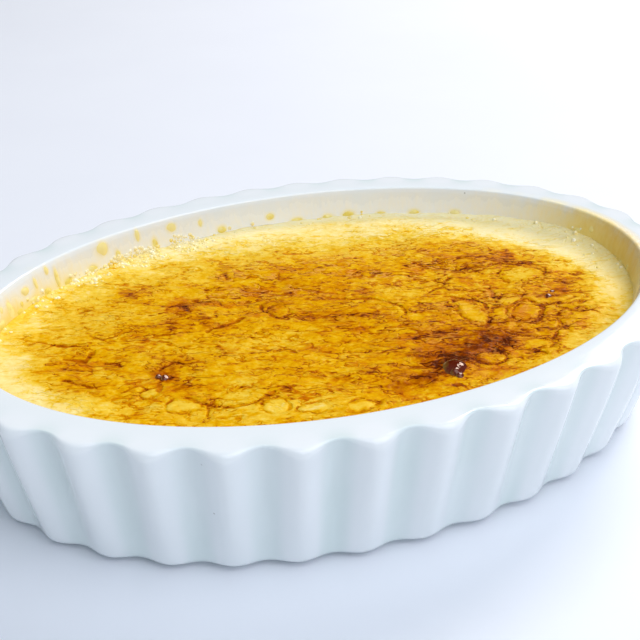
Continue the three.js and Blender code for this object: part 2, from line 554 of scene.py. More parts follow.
@dataclass(frozen=True)
class BrownedSkin(Finish):
    """Baked custard under a skin of caught sugar: wrinkled, satin to glossy, pale where it is only set.

    The attribute `toast` says how brown the skin is, from 0 for pale cream to 1 for burnt, `mottle` how
    strongly it is mottled, `crease_mm` how far the nearest deep crease is, and `gleam` how strongly a
    painted highlight lights the wrinkles' flanks.
    """

    name: str = "baked custard skin"
    tones: tuple[tuple[float, str], ...] = (
        (0.00, "#FDF4D0"),
        (0.16, "#FBE7A2"),
        (0.34, "#F2CB44"),
        (0.50, "#E8AE06"),
        (0.64, "#D38700"),
        (0.78, "#A85400"),
        (0.90, "#7E3404"),
        (1.00, "#562006"),
    )
    rust: str = "#CE6A08"
    # The colour of the painted highlight on the wrinkles' lit flanks.
    bare: str = "#EBA34C"
    patch_mm: float = 6.0
    rust_mm: float = 4.5
    stroke_mm: float = 2.9
    drag_mm: float = 2.2
    blotch_mm: float = 1.8
    hair_mm: float = 1.4
    fine_mm: float = 0.7
    crease_half_width_mm: float = 0.22
    relief_mm: float = 0.5
    lie: float = -20.0
    draw_out: float = 0.7
    index: float = 1.12
    gloss_level: float = 0.3
    gloss_tint: str = "#FFDCA8"
    scatter_share: float = 0.06
    scatter_mm: float = 0.8

    def strokes(
        self, node: AddNode, turned: bpy.types.Node, dragged_by: bpy.types.Node
    ) -> list[tuple[bpy.types.Node, bpy.types.Node]]:
        """Draws wrinkles of two sizes, each with a ridge along its flank.

        They lie where a smooth pattern passes through its middle value. A second pattern wears them away
        in places, so they come and go as short strokes.

        Args:
            node: The call that adds a node.
            turned: The place in millimetres, turned the way the skin lies.
            dragged_by: How the skin was dragged about there.

        Returns:
            For the broad wrinkles and for the fine ones, the groove and the ridge, each from 0 to 1.
        """
        drawn = []
        for size, start, width, along, bend in (
            (self.stroke_mm, 0.0, 0.045, 0.42, 1.3),
            (self.hair_mm, 40.0, 0.06, 0.55, 1.0),
        ):
            shift = (start, start, start)
            stretched = node(VECTOR, [turned, (along, 1.0, 1.0), shift], operation="MULTIPLY_ADD")
            moved = node(VECTOR, [dragged_by, (bend, bend, 0.0), stretched], operation="MULTIPLY_ADD")
            fold = node(NOISE, {"Vector": moved, "Scale": 1 / size, "Detail": 2.0, "Roughness": 0.6})
            wear = node(NOISE, {"Vector": moved, "Scale": 0.7 / size, "Detail": 2.0, "Roughness": 0.7})
            shown = node(RANGE, [wear, 0.42, 0.60], interpolation_type="SMOOTHSTEP")
            lines = []
            for middle, spread in ((0.5, width), (0.5 + 1.5 * width, width * 0.8)):
                off_middle = node(MATH, [fold, middle], operation="SUBTRACT")
                off_line = node(MATH, [off_middle], operation="ABSOLUTE")
                line = node(RANGE, [off_line, 0.0, spread, 1.0, 0.0], interpolation_type="SMOOTHSTEP")
                lines.append(node(MATH, [line, shown], operation="MULTIPLY"))
            drawn.append(tuple(lines))
        return drawn

    def build(self) -> bpy.types.Material:
        """Builds the material.

        Returns:
            The material.
        """
        material, node, shader, place_mm = self.start()
        toast, mottle, crease, gleam = (
            node(ATTRIBUTE, attribute_name=name).outputs["Fac"]
            for name in ("toast", "mottle", "crease_mm", "gleam")
        )
        # The skin shrank more one way than the other, so its patterns are drawn out along that way, and it
        # dragged them about by a millimetre or so.
        turning = {"Vector": place_mm, "Angle": math.radians(-self.lie)}
        turned = node("ShaderNodeVectorRotate", turning, rotation_type="Z_AXIS")
        drawn = node(VECTOR, [turned, (self.draw_out, 1.0, 1.0)], operation="MULTIPLY")
        drag_mm = self.drag_mm
        pull = node(NOISE, {"Vector": drawn, "Scale": 1 / drag_mm, "Detail": 3.0, "Roughness": 0.6})
        dragged_by = node(VECTOR, [pull.outputs["Color"], (0.5, 0.5, 0.5)], operation="SUBTRACT")
        dragged = node(VECTOR, [dragged_by, (drag_mm, drag_mm, 0.0), drawn], operation="MULTIPLY_ADD")
        blotches, patches, fine, rusty = (
            node(NOISE, {"Vector": way, "Scale": 1 / size, "Detail": detail, "Roughness": roughness})
            for way, size, detail, roughness in (
                (dragged, self.blotch_mm, 4.0, 0.68),
                (drawn, self.patch_mm, 2.0, 0.5),
                (drawn, self.fine_mm, 2.0, 0.6),
                (dragged, self.rust_mm, 3.0, 0.6),
            )
        )
        (stroke, stroke_ridge), (hair, hair_ridge) = self.strokes(node, turned, dragged_by)
        # A deep crease is broken up along its way by the grain.
        grain = node(MATH, [blotches, 0.5], operation="SUBTRACT")
        ragged = node(MATH, [grain, 1.6, crease], operation="MULTIPLY_ADD")
        width = self.crease_half_width_mm
        deep = node(RANGE, [ragged, width * 0.3, width * 2.2, 1.0, 0.0], interpolation_type="SMOOTHSTEP")
        # Each pattern, about its middle value, adds its share to the browning.
        spread = None
        for pattern, middle, share in (
            (blotches, 0.5, 0.59),
            (patches, 0.5, 0.12),
            (fine, 0.5, 0.43),
            (stroke, 0.12, 0.26),
            (hair, 0.12, 0.25),
        ):
            off_middle = node(MATH, [pattern, middle], operation="SUBTRACT")
            spread = node(MATH, [off_middle, share, spread or 0.0], operation="MULTIPLY_ADD")
        mottled = node(MATH, [spread, mottle, toast], operation="MULTIPLY_ADD")
        level = node(MATH, [deep, 0.22, mottled], operation="MULTIPLY_ADD", use_clamp=True)
        ramp = node("ShaderNodeValToRGB", [level])
        set_ramp(ramp, self.tones)
        # Here and there the brown turns to rust, but neither the yellow nor the black.
        rust_share = node(RANGE, [rusty, 0.50, 0.66, 0.0, 0.52], interpolation_type="SMOOTHSTEP")
        not_yellow = node(RANGE, [level, 0.42, 0.62], interpolation_type="SMOOTHSTEP")
        not_black = node(RANGE, [level, 0.72, 0.86, 1.0, 0.0])
        for limit in (not_yellow, not_black, mottle):
            rust_share = node(MATH, [rust_share, limit], operation="MULTIPLY")
        rusted = node(MIX, {0: rust_share, 6: ramp.outputs["Color"], 7: linear(self.rust)}, data_type="RGBA")
        # Beside a wrinkle its flank is drawn paler: a painted highlight, the sheen of the light on the ridge.
        ridges = node(MATH, [stroke_ridge, hair_ridge], operation="MAXIMUM")
        ridge_sheen_share = node(MATH, [ridges, gleam], operation="MULTIPLY")
        coloured = node(MIX, {0: ridge_sheen_share, 6: rusted.outputs[2], 7: linear(self.bare)}, data_type="RGBA")
        gloss = node(MATH, [blotches, 0.16, 0.15], operation="MULTIPLY_ADD")
        # Each pattern's share of the relief: blotches and ridges stand up, and wrinkles and creases lie
        # deeper.
        relief = None
        for pattern, share in (
            (blotches, 0.50),
            (fine, 0.22),
            (stroke, -0.26),
            (hair, -0.18),
            (ridges, 0.24),
            (deep, -0.34),
        ):
            relief = node(MATH, [pattern, share, relief or 0.0], operation="MULTIPLY_ADD")
        calmed = node(MATH, [relief, node(RANGE, [mottle, 0.0, 1.0, 0.3, 1.0])], operation="MULTIPLY")
        bump = node(BUMP, {"Strength": 0.8, "Distance": self.relief_mm * MM, "Height": calmed})
        sources = {
            "Base Color": coloured.outputs[2],
            "Roughness": gloss.outputs[0],
            "Normal": bump.outputs[0],
        }
        values = {
            "IOR": self.index,
            "Specular IOR Level": self.gloss_level,
            "Specular Tint": linear(self.gloss_tint),
            "Subsurface Weight": self.scatter_share,
            "Subsurface Radius": (1.0, 0.55, 0.18),
            "Subsurface Scale": self.scatter_mm * MM,
        }
        feed(material, shader, sources, values)
        return material


@dataclass(frozen=True)
class SetFroth(Finish):
    """Custard froth and splashes that set on the hot wall: yellow, wet looking, slightly uneven.

    Above the height `pale_from_mm` it dried paler, by `paling` for each millimetre.
    """

    name: str = "set custard froth"
    pale: str = "#FFF9DC"
    deep: str = "#FCE27C"
    patch_mm: float = 1.6
    paling: float = 0.08
    pale_from_mm: float = 21.6

    def build(self) -> bpy.types.Material:
        """Builds the material.

        Returns:
            The material.
        """
        material, node, shader, place_mm = self.start()
        patches = node(NOISE, {"Vector": place_mm, "Scale": 1 / self.patch_mm, "Detail": 3.0})
        height = node("ShaderNodeSeparateXYZ", [place_mm]).outputs["Z"]
        at_floor = 0.5 + self.paling * self.pale_from_mm
        level = node(MATH, [height, -self.paling, at_floor], operation="MULTIPLY_ADD")
        share = node(RANGE, [node(MATH, [patches, level], operation="ADD"), 0.82, 1.12])
        tone = node(MIX, {0: share, 6: linear(self.pale), 7: linear(self.deep)}, data_type="RGBA")
        feed(material, shader, {"Base Color": tone.outputs[2]}, {"Roughness": 0.14, "IOR": 1.45})
        return material


@dataclass(frozen=True)
class BurntSugar(Finish):
    """Sugar that boiled to caramel and set as bright glass: dark red where thick, olive brown where thin.

    The attribute `rim` is 0 on a blister's front and 1 on the thin raised edge at its back.
    """

    name: str = "burnt caramel"
    thick: str = "#5A1602"
    thin: str = "#8A6426"
    glint: str = "#FFE4CC"
    grain_mm: float = 0.9
    lump_depth_mm: float = 0.3

    def build(self) -> bpy.types.Material:
        """Builds the material.

        Returns:
            The material.
        """
        material, node, shader, place_mm = self.start()
        grain = node(NOISE, {"Vector": place_mm, "Scale": 1 / self.grain_mm, "Detail": 2.0})
        rim = node(ATTRIBUTE, attribute_name="rim").outputs["Fac"]
        worn = node(MATH, [grain, 0.6, rim], operation="MULTIPLY_ADD")
        share = node(RANGE, [worn, 0.62, 1.0, 0.0, 1.0])
        tone = node(MIX, {0: share, 6: linear(self.thick), 7: linear(self.thin)}, data_type="RGBA")
        lumps = node(BUMP, {"Strength": 0.35, "Distance": self.lump_depth_mm * MM, "Height": grain})
        sources = {"Base Color": tone.outputs[2], "Normal": lumps.outputs[0]}
        feed(material, shader, sources, {"Roughness": 0.09, "IOR": 1.62, "Specular Tint": linear(self.glint)})
        return material


@dataclass(frozen=True)
class PaintedBoard(Finish):
    """A matt painted table top, pale grey, for the object to stand on."""

    name: str = "matt painted board"
    light: str = "#EFF2F8"
    dark: str = "#EAEDF4"
    patch_mm: float = 60.0

    def build(self) -> bpy.types.Material:
        """Builds the material.

        Returns:
            The material.
        """
        material, node, shader, place_mm = self.start()
        patches = node(NOISE, {"Vector": place_mm, "Scale": 1 / self.patch_mm, "Detail": 3.0})
        tone = node(MIX, {0: patches, 6: linear(self.dark), 7: linear(self.light)}, data_type="RGBA")
        feed(material, shader, {"Base Color": tone.outputs[2]}, {"Roughness": 0.6})
        return material


# ---- The dish ------------------------------------------------------------------------------------


@dataclass(frozen=True)
class Station:
    """One ring of the dish's turned profile.

    `fluted` is how much of the flutes' depth the ring takes. `turn` runs from 0 to 1 round the rim's rounded
    outer edge, and is below 0 elsewhere. `scale` below 1 shrinks a ring of the base or the floor.
    """

    outset: float
    height: float
    scale: float = 1.0
    fluted: float = 0.0
    turn: float = -1.0


@dataclass(frozen=True)
class FilmEdge:
    """How custard dried on the inner wall at one place round it.

    `bearing` is the oval's turn in degrees, `reach` how far up the wall the film goes, in millimetres,
    `cover` how thick it is at the custard's edge, `tone` how brown at its top, and `foot` how brown at
    its foot.
    """

    bearing: float
    reach: float
    cover: float
    tone: float
    foot: float


# The rings of a dome, as shares of its radius, and the steps round each.
RING_SHARES = (0.12, 0.25, 0.38, 0.5, 0.62, 0.74, 0.85, 0.94, 1.0)
SEGMENTS = 24


@dataclass(frozen=True)
class Bead:
    """A low closed dome: its place, half length, half width and height, and how uneven its outline is.

    On the wall, `x` is the oval's turn in degrees and `y` the height in millimetres. On the custard they
    are plain places.
    """

    x: float
    y: float
    half_length: float
    half_width: float
    height: float
    uneven: float = 0.12

    def outline(self, seed: int) -> tuple[Array, Array, Array]:
        """Lays out the dome before it is put on its ground: its top, its rings and its underside's middle.

        Args:
            seed: What makes its outline its own.

        Returns:
            Places along and across, and the share of the radius of each.
        """
        rng = np.random.default_rng(seed)
        angle = np.arange(SEGMENTS) / SEGMENTS * 2 * math.pi
        radius = np.ones(SEGMENTS)
        for waves in (2, 3, 5):
            depth = self.uneven * 2 / waves * rng.uniform(0.4, 1)
            radius += depth * np.sin(waves * angle + rng.uniform(0, 6.28))
        shares = np.array(RING_SHARES)[:, None]
        along = (shares * (radius * np.cos(angle))).ravel() * self.half_length
        across = (shares * (radius * np.sin(angle))).ravel() * self.half_width
        return np.r_[0, along, 0], np.r_[0, across, 0], np.r_[0, np.repeat(RING_SHARES, SEGMENTS), 1]


def lay_out(
    beads: Sequence[Bead], seed: int
) -> tuple[list[tuple[Bead, Array, Array, Array]], list[list[int]]]:
    """Lays out domes that share a mesh.

    Args:
        beads: The domes.
        seed: The first dome's seed; each next one's is one more.

    Returns:
        Each dome with its outline, and the corners of all faces.
    """
    laid = [(bead, *bead.outline(seed + number)) for number, bead in enumerate(beads)]
    faces, top = [], 0
    for _ in beads:
        rings = top + 1 + np.arange(len(RING_SHARES) * SEGMENTS).reshape(-1, SEGMENTS)
        underside = rings[-1, -1] + 1
        hoops = [np.full(SEGMENTS, top), *rings, np.full(SEGMENTS, underside)]
        for inner, outer in zip(hoops, hoops[1:]):
            faces += band(inner, outer, turned=True)
        top = int(underside) + 1
    return laid, faces


# Where custard spat onto the inner wall: the oval's turn in degrees and the height of each drop.
WALL_DROPS = (
    Bead(124.2, 25.1, 1.35, 1.35, 0.17),
    Bead(146.2, 24.3, 1.1, 0.8, 0.17),
    Bead(152.6, 23.2, 0.9, 1.7, 0.15),
    Bead(148.5, 22.6, 0.5, 0.6, 0.12),
    Bead(136.7, 23.4, 0.6, 2.0, 0.12),
    Bead(142.7, 24.6, 0.5, 1.1, 0.10),
    Bead(127.5, 22.0, 1.1, 0.8, 0.15),
    Bead(108.4, 25.0, 1.1, 1.0, 0.12),
    Bead(115.9, 25.3, 0.6, 1.2, 0.09),
    Bead(138.8, 25.6, 0.5, 0.9, 0.09),
    Bead(102.2, 24.4, 0.5, 0.8, 0.08),
    Bead(97.9, 22.1, 1.0, 0.8, 0.14),
    Bead(87.6, 23.0, 0.9, 0.8, 0.14),
    Bead(82.0, 21.4, 1.3, 0.6, 0.17),
    Bead(75.5, 21.3, 1.2, 0.7, 0.17),
    Bead(71.0, 21.5, 1.3, 0.9, 0.20),
    Bead(64.0, 21.3, 1.1, 0.6, 0.17),
    Bead(56.5, 21.4, 1.2, 0.8, 0.20),
    Bead(47.0, 21.5, 1.2, 0.9, 0.20),
    Bead(16.0, 21.6, 0.9, 0.8, 0.15),
    Bead(12.8, 22.8, 0.8, 0.9, 0.15),
    Bead(3.2, 21.4, 0.8, 0.7, 0.15),
    Bead(8.2, 24.2, 0.6, 0.8, 0.10),
    Bead(347.6, 22.3, 0.6, 0.6, 0.11),
    Bead(352.2, 21.8, 0.7, 0.6, 0.12),
    Bead(157.5, 22.0, 1.5, 0.8, 0.18),
    Bead(161.5, 22.8, 0.8, 1.1, 0.14),
    Bead(165.0, 22.0, 1.3, 0.8, 0.18),
    Bead(169.5, 22.6, 0.8, 1.0, 0.14),
    Bead(149.8, 21.6, 1.0, 0.6, 0.15),
    Bead(144.5, 21.9, 1.3, 0.7, 0.18),
    Bead(140.2, 21.9, 1.0, 0.8, 0.16),
    Bead(134.0, 21.7, 1.2, 0.7, 0.16),
    Bead(155.6, 24.2, 0.5, 0.6, 0.10),
    Bead(159.5, 24.6, 0.6, 0.8, 0.10),
    Bead(142.6, 23.9, 0.4, 0.6, 0.08),
    Bead(112.5, 22.6, 0.7, 1.2, 0.12),
    Bead(121.0, 22.9, 0.6, 1.0, 0.10),
)


@dataclass
class FlutedDish:
    """The oval porcelain dish: foot ring, fluted wall, flat rim, and a bowl with custard dried on its wall.

    Each edge of the foot is given as pairs of the distance outside the foot's face and the height.
    """

    bowl: Bowl = field(default_factory=Bowl)
    rim_width: float = 6.6
    mouth_round: float = 0.6
    foot_height: float = 1.0
    foot_inset: float = 3.4
    foot_width: float = 3.5
    foot_flare: float = 0.4
    base_recess: float = 0.9
    foot_inner_edge: tuple[tuple[float, float], ...] = ((-1.6, 0.9), (-0.7, 0.675), (-0.1, 0.12), (0.25, 0.0))
    foot_outer_edge: tuple[tuple[float, float], ...] = ((-0.25, 0.0), (0.05, 0.12))
    outer_taper: float = 5.1
    lower_round_rise: float = 1.6
    lower_round_inset: float = 0.9
    plain_below_rim: float = 2.2
    film_below_custard: float = 0.6
    flutes: int = 34
    depth_at_rim: float = 1.15
    depth_deepest: float = 1.35
    depth_at_base: float = 0.55
    deepest_drop: float = 5.0
    crest_round: float = 1.6
    groove_round: float = 0.4
    steps_per_flute: int = 24
    wall_steps: int = 19
    film_steps: int = 21
    round_steps: int = 8
    lower_round_steps: int = 6
    custard_level: float = CUSTARD_LEVEL
    mean_radius: float = 52.0
    film_waves: tuple[tuple[Grain, float, float], ...] = (
        (Grain(6.5, 31), 0.35, 0.2),
        (Grain(2.2, 32), 0.2, 0.5),
    )
    least_film: float = 0.4
    film_foot: float = 0.7
    halo: float = 1.7
    halo_cover: float = 0.9
    halo_tone: float = 0.66
    drops: tuple[Bead, ...] = WALL_DROPS
    # At the right end, bearings 345 to 14, the film is drawn darkest near the rim and paler at its foot:
    # partly the film's own tone, partly painted shade near the rim and painted light at the foot.
    film_by_bearing: tuple[FilmEdge, ...] = (
        FilmEdge(0, 16.0, 1.00, 0.98, 0.72),
        FilmEdge(14, 13.0, 1.00, 0.88, 0.56),
        FilmEdge(30, 7.5, 0.95, 0.36, 0.18),
        FilmEdge(45, 7.0, 0.85, 0.12, 0.05),
        FilmEdge(75, 7.0, 0.80, 0.04, 0.04),
        FilmEdge(98, 7.0, 0.80, 0.04, 0.05),
        FilmEdge(125, 7.0, 0.90, 0.12, 0.16),
        FilmEdge(150, 6.0, 0.98, 0.34, 0.66),
        FilmEdge(170, 5.5, 1.00, 0.46, 0.92),
        FilmEdge(200, 2.0, 0.90, 0.30, 0.40),
        FilmEdge(300, 2.0, 0.90, 0.40, 0.40),
        FilmEdge(330, 5.5, 1.00, 0.56, 0.34),
        FilmEdge(345, 13.0, 1.00, 0.98, 0.74),
        FilmEdge(360, 16.0, 1.00, 0.98, 0.72),
    )

    @property
    def height(self) -> float:
        """The rim's height above the table."""
        return self.bowl.rim_height

    def wall_outset(self, height: float) -> float:
        """The middle line of the fluted wall at a height."""
        return self.rim_width - self.outer_taper * (self.height - height) / (self.height - self.foot_height)

    def stations(self) -> list[Station]:
        """Lists the profile's rings, from the base's middle out, over the rim and down to the floor's middle.

        Returns:
            The rings.
        """
        quarter = math.pi / 2
        foot_outer = self.wall_outset(self.foot_height) - self.foot_inset
        foot_inner = foot_outer - self.foot_width
        rings = [Station(foot_inner, self.base_recess, scale) for scale in (0, 0.5)]
        rings += [Station(foot_inner + out, height) for out, height in self.foot_inner_edge]
        rings += [Station(foot_outer + out, height) for out, height in self.foot_outer_edge]
        rings.append(Station(foot_outer + self.foot_flare, self.foot_height))
        for share in np.linspace(0, 1, self.lower_round_steps + 1):
            inset = self.lower_round_inset * (1 - math.sin(quarter * share))
            height = self.foot_height + self.lower_round_rise * (1 - math.cos(quarter * share))
            rings.append(Station(self.wall_outset(height) - inset, height, fluted=1))
        wall = (self.foot_height + self.lower_round_rise, self.height - self.plain_below_rim)
        for height in np.linspace(*wall, self.wall_steps + 1)[1:]:
            rings.append(Station(self.wall_outset(height), height, fluted=1))
        for turn in np.linspace(0, 1, self.round_steps + 1):
            rings.append(Station(self.rim_width, self.height, fluted=1, turn=turn))
        for share in (0.3, 0.65):
            outset = self.rim_width + (self.mouth_round - self.rim_width) * share
            rings.append(Station(outset, self.height, fluted=(1 - share) ** 2, turn=1))
        for angle in np.linspace(quarter, math.pi - math.atan(self.bowl.slope), self.round_steps + 1):
            outset = self.mouth_round * (1 + math.cos(angle))
            rings.append(Station(outset, self.height - self.mouth_round * (1 - math.sin(angle))))
        film = (self.height - self.mouth_round, self.custard_level - self.film_below_custard)
        for height in np.linspace(*film, self.film_steps + 1)[1:]:
            rings.append(Station(self.bowl.outset(height), height))
        rings += [Station(outset, height) for outset, height in self.bowl.fillet_stations(0, 6)]
        rings += [Station(rings[-1].outset, self.bowl.floor_height, scale) for scale in (0.5, 0)]
        return rings

    def blank(self) -> bpy.types.Mesh:
        """Turns the dish without its flutes, and keeps on its vertices what the flutes and the film need.

        Returns:
            The mesh.
        """
        steps = self.flutes * self.steps_per_flute
        turns = self.bowl.oval.even_turns(steps, self.rim_width)
        outward = np.column_stack([self.bowl.oval.outward(turns), np.zeros(steps)])
        rows, faces, count, previous = [], [], 0, None
        for ring in self.stations():
            is_pole = ring.scale == 0
            picked = slice(0, 1) if is_pole else slice(None)
            plan = self.bowl.oval.points(turns, ring.outset)[picked] * ring.scale
            size = len(plan)
            row = {
                "point": np.column_stack([plan, np.full(size, ring.height)]),
                "bearing": turns[picked] * 360,
                "share": np.arange(steps)[picked] / steps,
                "outward": outward[picked],
                "fluted": np.full(size, ring.fluted),
                "turn": np.full(size, ring.turn),
            }
            rows.append(row)
            current = np.full(steps, count) if is_pole else count + np.arange(steps)
            if previous is not None:
                faces += band(previous, current)
            previous = current
            count += size
        kept = {key: np.concatenate([row[key] for row in rows]) for key in rows[0]}
        points, bearings = kept.pop("point"), kept.pop("bearing")
        mesh = mesh_from("dish_blank", points, faces)
        for key, values in (kept | self.film(points, bearings)).items():
            store(mesh, key, values)
        return mesh

    def film(self, points: Array, bearings: Array) -> dict[str, Array]:
        """Works out how thickly dried custard covers each vertex of the inner wall, and its tone.

        Args:
            points: The vertices, in millimetres.
            bearings: The oval's turn at each, in degrees.

        Returns:
            The film's cover and tone, each from 0 to 1.
        """
        at = [edge.bearing for edge in self.film_by_bearing]
        reach, cover, tone, foot = (
            np.interp(bearings, at, [getattr(edge, key) for edge in self.film_by_bearing])
            for key in ("reach", "cover", "tone", "foot")
        )
        along = np.radians(bearings) * self.mean_radius
        above = points[:, 2] - self.custard_level
        ragged = 1 + sum(depth * wave.at(along, above * drawn) for wave, depth, drawn in self.film_waves)
        thinning = 1 - smoothstep(0.1, 1.0, above / np.maximum(reach * ragged, self.least_film))
        at_custard = np.exp(-np.maximum(above - 0.5, 0) / self.film_foot)
        thickness = np.maximum(cover * thinning, at_custard)
        shade = tone + (foot - tone) * thinning
        # Each drop soaked the glaze round it yellow.
        for drop in self.drops:
            off = (bearings - drop.x) / 360 * self.bowl.oval.stretch(drop.x / 360)
            spread = np.hypot(off / drop.half_length, (points[:, 2] - drop.y) / drop.half_width)
            soaked = 1 - smoothstep(0.5, self.halo, spread)
            thickness = np.maximum(thickness, self.halo_cover * soaked)
            shade = shade + (self.halo_tone - shade) * soaked
        # It lies on the wall between the mouth and just below the custard, and the flat rim is bare.
        out = np.linalg.norm(points[:, :2] / (self.bowl.oval.half_length, self.bowl.oval.half_width), axis=1)
        on_wall = (out < 1.012) & (points[:, 2] > self.custard_level - 1)
        return {"film": np.where(on_wall, np.clip(thickness, 0, 1), 0), "film_tone": np.clip(shade, 0, 1)}

    def press_flutes(self, mesh: bpy.types.Mesh, glaze: bpy.types.Material) -> bpy.types.Mesh:
        """Presses the flutes into the blank with a geometry tree.

        Args:
            mesh: The blank.
            glaze: The finish of the result.

        Returns:
            The fluted dish, with the attribute `flute`.
        """
        sizes = {
            "Flutes": float(self.flutes),
            "Rim Height": self.height * MM,
            "Foot Height": self.foot_height * MM,
            "Taper": self.outer_taper / (self.height - self.foot_height),
            "Depth at Rim": self.depth_at_rim * MM,
            "Depth Deepest": self.depth_deepest * MM,
            "Depth at Base": self.depth_at_base * MM,
            "Deepest Drop": self.deepest_drop * MM,
            "Crest Round": self.crest_round * MM,
            "Groove Round": self.groove_round * MM,
            "Material": glaze,
        }
        growth = Growth("fluted_wall", sizes)
        node, given = growth.node, growth.given
        kept = {"share": "FLOAT", "fluted": "FLOAT", "turn": "FLOAT", "outward": "FLOAT_VECTOR"}
        share, fluted, turn, outward = (
            node(KEPT, {"Name": name}, data_type=kind).outputs[0] for name, kind in kept.items()
        )
        # The wave is -1 in a groove and 1 on a crest.
        flutes_round = node(MATH, [share, given["Flutes"]], operation="MULTIPLY")
        angle = node(MATH, [flutes_round, 2 * math.pi], operation="MULTIPLY")
        wave = node(MATH, [node(MATH, [angle], operation="COSINE"), -1.0], operation="MULTIPLY")
        # The rim's outer edge is rounded: hardly in a groove, and well on a crest.
        on_edge = node(MATH, [turn, -0.5], operation="GREATER_THAN")
        radius = node(RANGE, [wave, -1.0, 1.0, given["Groove Round"], given["Crest Round"]])
        edge_radius = node(MATH, [radius, on_edge], operation="MULTIPLY")
        quarter_turn = node(MATH, [turn, math.pi / 2], operation="MULTIPLY")
        rounded = []
        for part in ("SINE", "COSINE"):
            left = node(MATH, [1.0, node(MATH, [quarter_turn], operation=part)], operation="SUBTRACT")
            rounded.append(node(MATH, [edge_radius, left], operation="MULTIPLY"))
        drop, inset = rounded
        # The flutes are deepest a little below the rim, and grow shallow towards the rim and the base.
        height = node("ShaderNodeSeparateXYZ", [node("GeometryNodeInputPosition")]).outputs["Z"]
        lowered = node(MATH, [height, drop], operation="SUBTRACT")
        deepest = node(MATH, [given["Rim Height"], given["Deepest Drop"]], operation="SUBTRACT")
        depths = []
        for edge, edge_depth in (("Rim Height", "Depth at Rim"), ("Foot Height", "Depth at Base")):
            towards = node(RANGE, [lowered, given[edge], deepest])
            eased = node(MATH, [node(MATH, [towards, math.pi / 2], operation="MULTIPLY")], operation="SINE")
            depths.append(node(RANGE, {0: eased, 3: given[edge_depth], 4: given["Depth Deepest"]}))
        depth = node(MATH, depths, operation="MINIMUM")
        push = node(MATH, [depth, wave], operation="MULTIPLY")
        slant = node(MATH, [drop, given["Taper"]], operation="MULTIPLY")
        for less in (inset, slant):
            push = node(MATH, [push, less], operation="SUBTRACT")
        push, fall, felt_wave = (
            node(MATH, [amount, fluted], operation="MULTIPLY") for amount in (push, drop, wave)
        )
        sideways = node(VECTOR, {0: outward, "Scale": push}, operation="SCALE")
        down = node("ShaderNodeCombineXYZ", {"Z": node(MATH, [fall, -1.0], operation="MULTIPLY")})
        offset = node(VECTOR, [sideways, down], operation="ADD")
        pressed = node("GeometryNodeSetPosition", {"Geometry": given["Geometry"], "Offset": offset})
        marking = {"Geometry": pressed, "Name": "flute", "Value": felt_wave}
        marked = node("GeometryNodeStoreNamedAttribute", marking, data_type="FLOAT", domain="POINT")
        return growth.run(marked, mesh)

    def build(self, glaze: bpy.types.Material) -> bpy.types.Object:
        """Makes the dish.

        Args:
            glaze: Its finish.

        Returns:
            The piece, which stands for the CAD node `dish`.
        """
        return place("porcelain_dish", self.press_flutes(self.blank(), glaze), ["dish"])


# ---- The custard ---------------------------------------------------------------------------------


@dataclass(frozen=True)
class Mark:
    """A patch of the skin that is browner or paler than the rest, as an ellipse that fades out.

    `direction` is the angle of its long axis in degrees, and `toast` what it adds to the browning.
    """

    x: float
    y: float
    half_length: float
    half_width: float
    direction: float
    toast: float

    def reach(self, x: Array, y: Array) -> Array:
        """Tells how far out a place lies.

        Args:
            x: Places along X, in millimetres.
            y: Places along Y.

        Returns:
            The distances from its middle, as shares of the ellipse's size.
        """
        angle = math.radians(self.direction)
        along = (x - self.x) * math.cos(angle) + (y - self.y) * math.sin(angle)
        across = (y - self.y) * math.cos(angle) - (x - self.x) * math.sin(angle)
        return np.hypot(along / self.half_length, across / self.half_width)


def distance_to_path(x: Array, y: Array, path: Sequence[tuple[float, float]]) -> Array:
    """How far each place lies from a line drawn through a few points.

    Args:
        x: Places along X.
        y: Places along Y.
        path: The points that the line joins.

    Returns:
        The distances, in the points' own unit.
    """
    nearest = np.full(x.shape, np.inf)
    for (ax, ay), (bx, by) in zip(path, path[1:]):
        span = (bx - ax) ** 2 + (by - ay) ** 2
        share = np.clip(((x - ax) * (bx - ax) + (y - ay) * (by - ay)) / span, 0, 1)
        nearest = np.minimum(nearest, np.hypot(x - ax - share * (bx - ax), y - ay - share * (by - ay)))
    return nearest


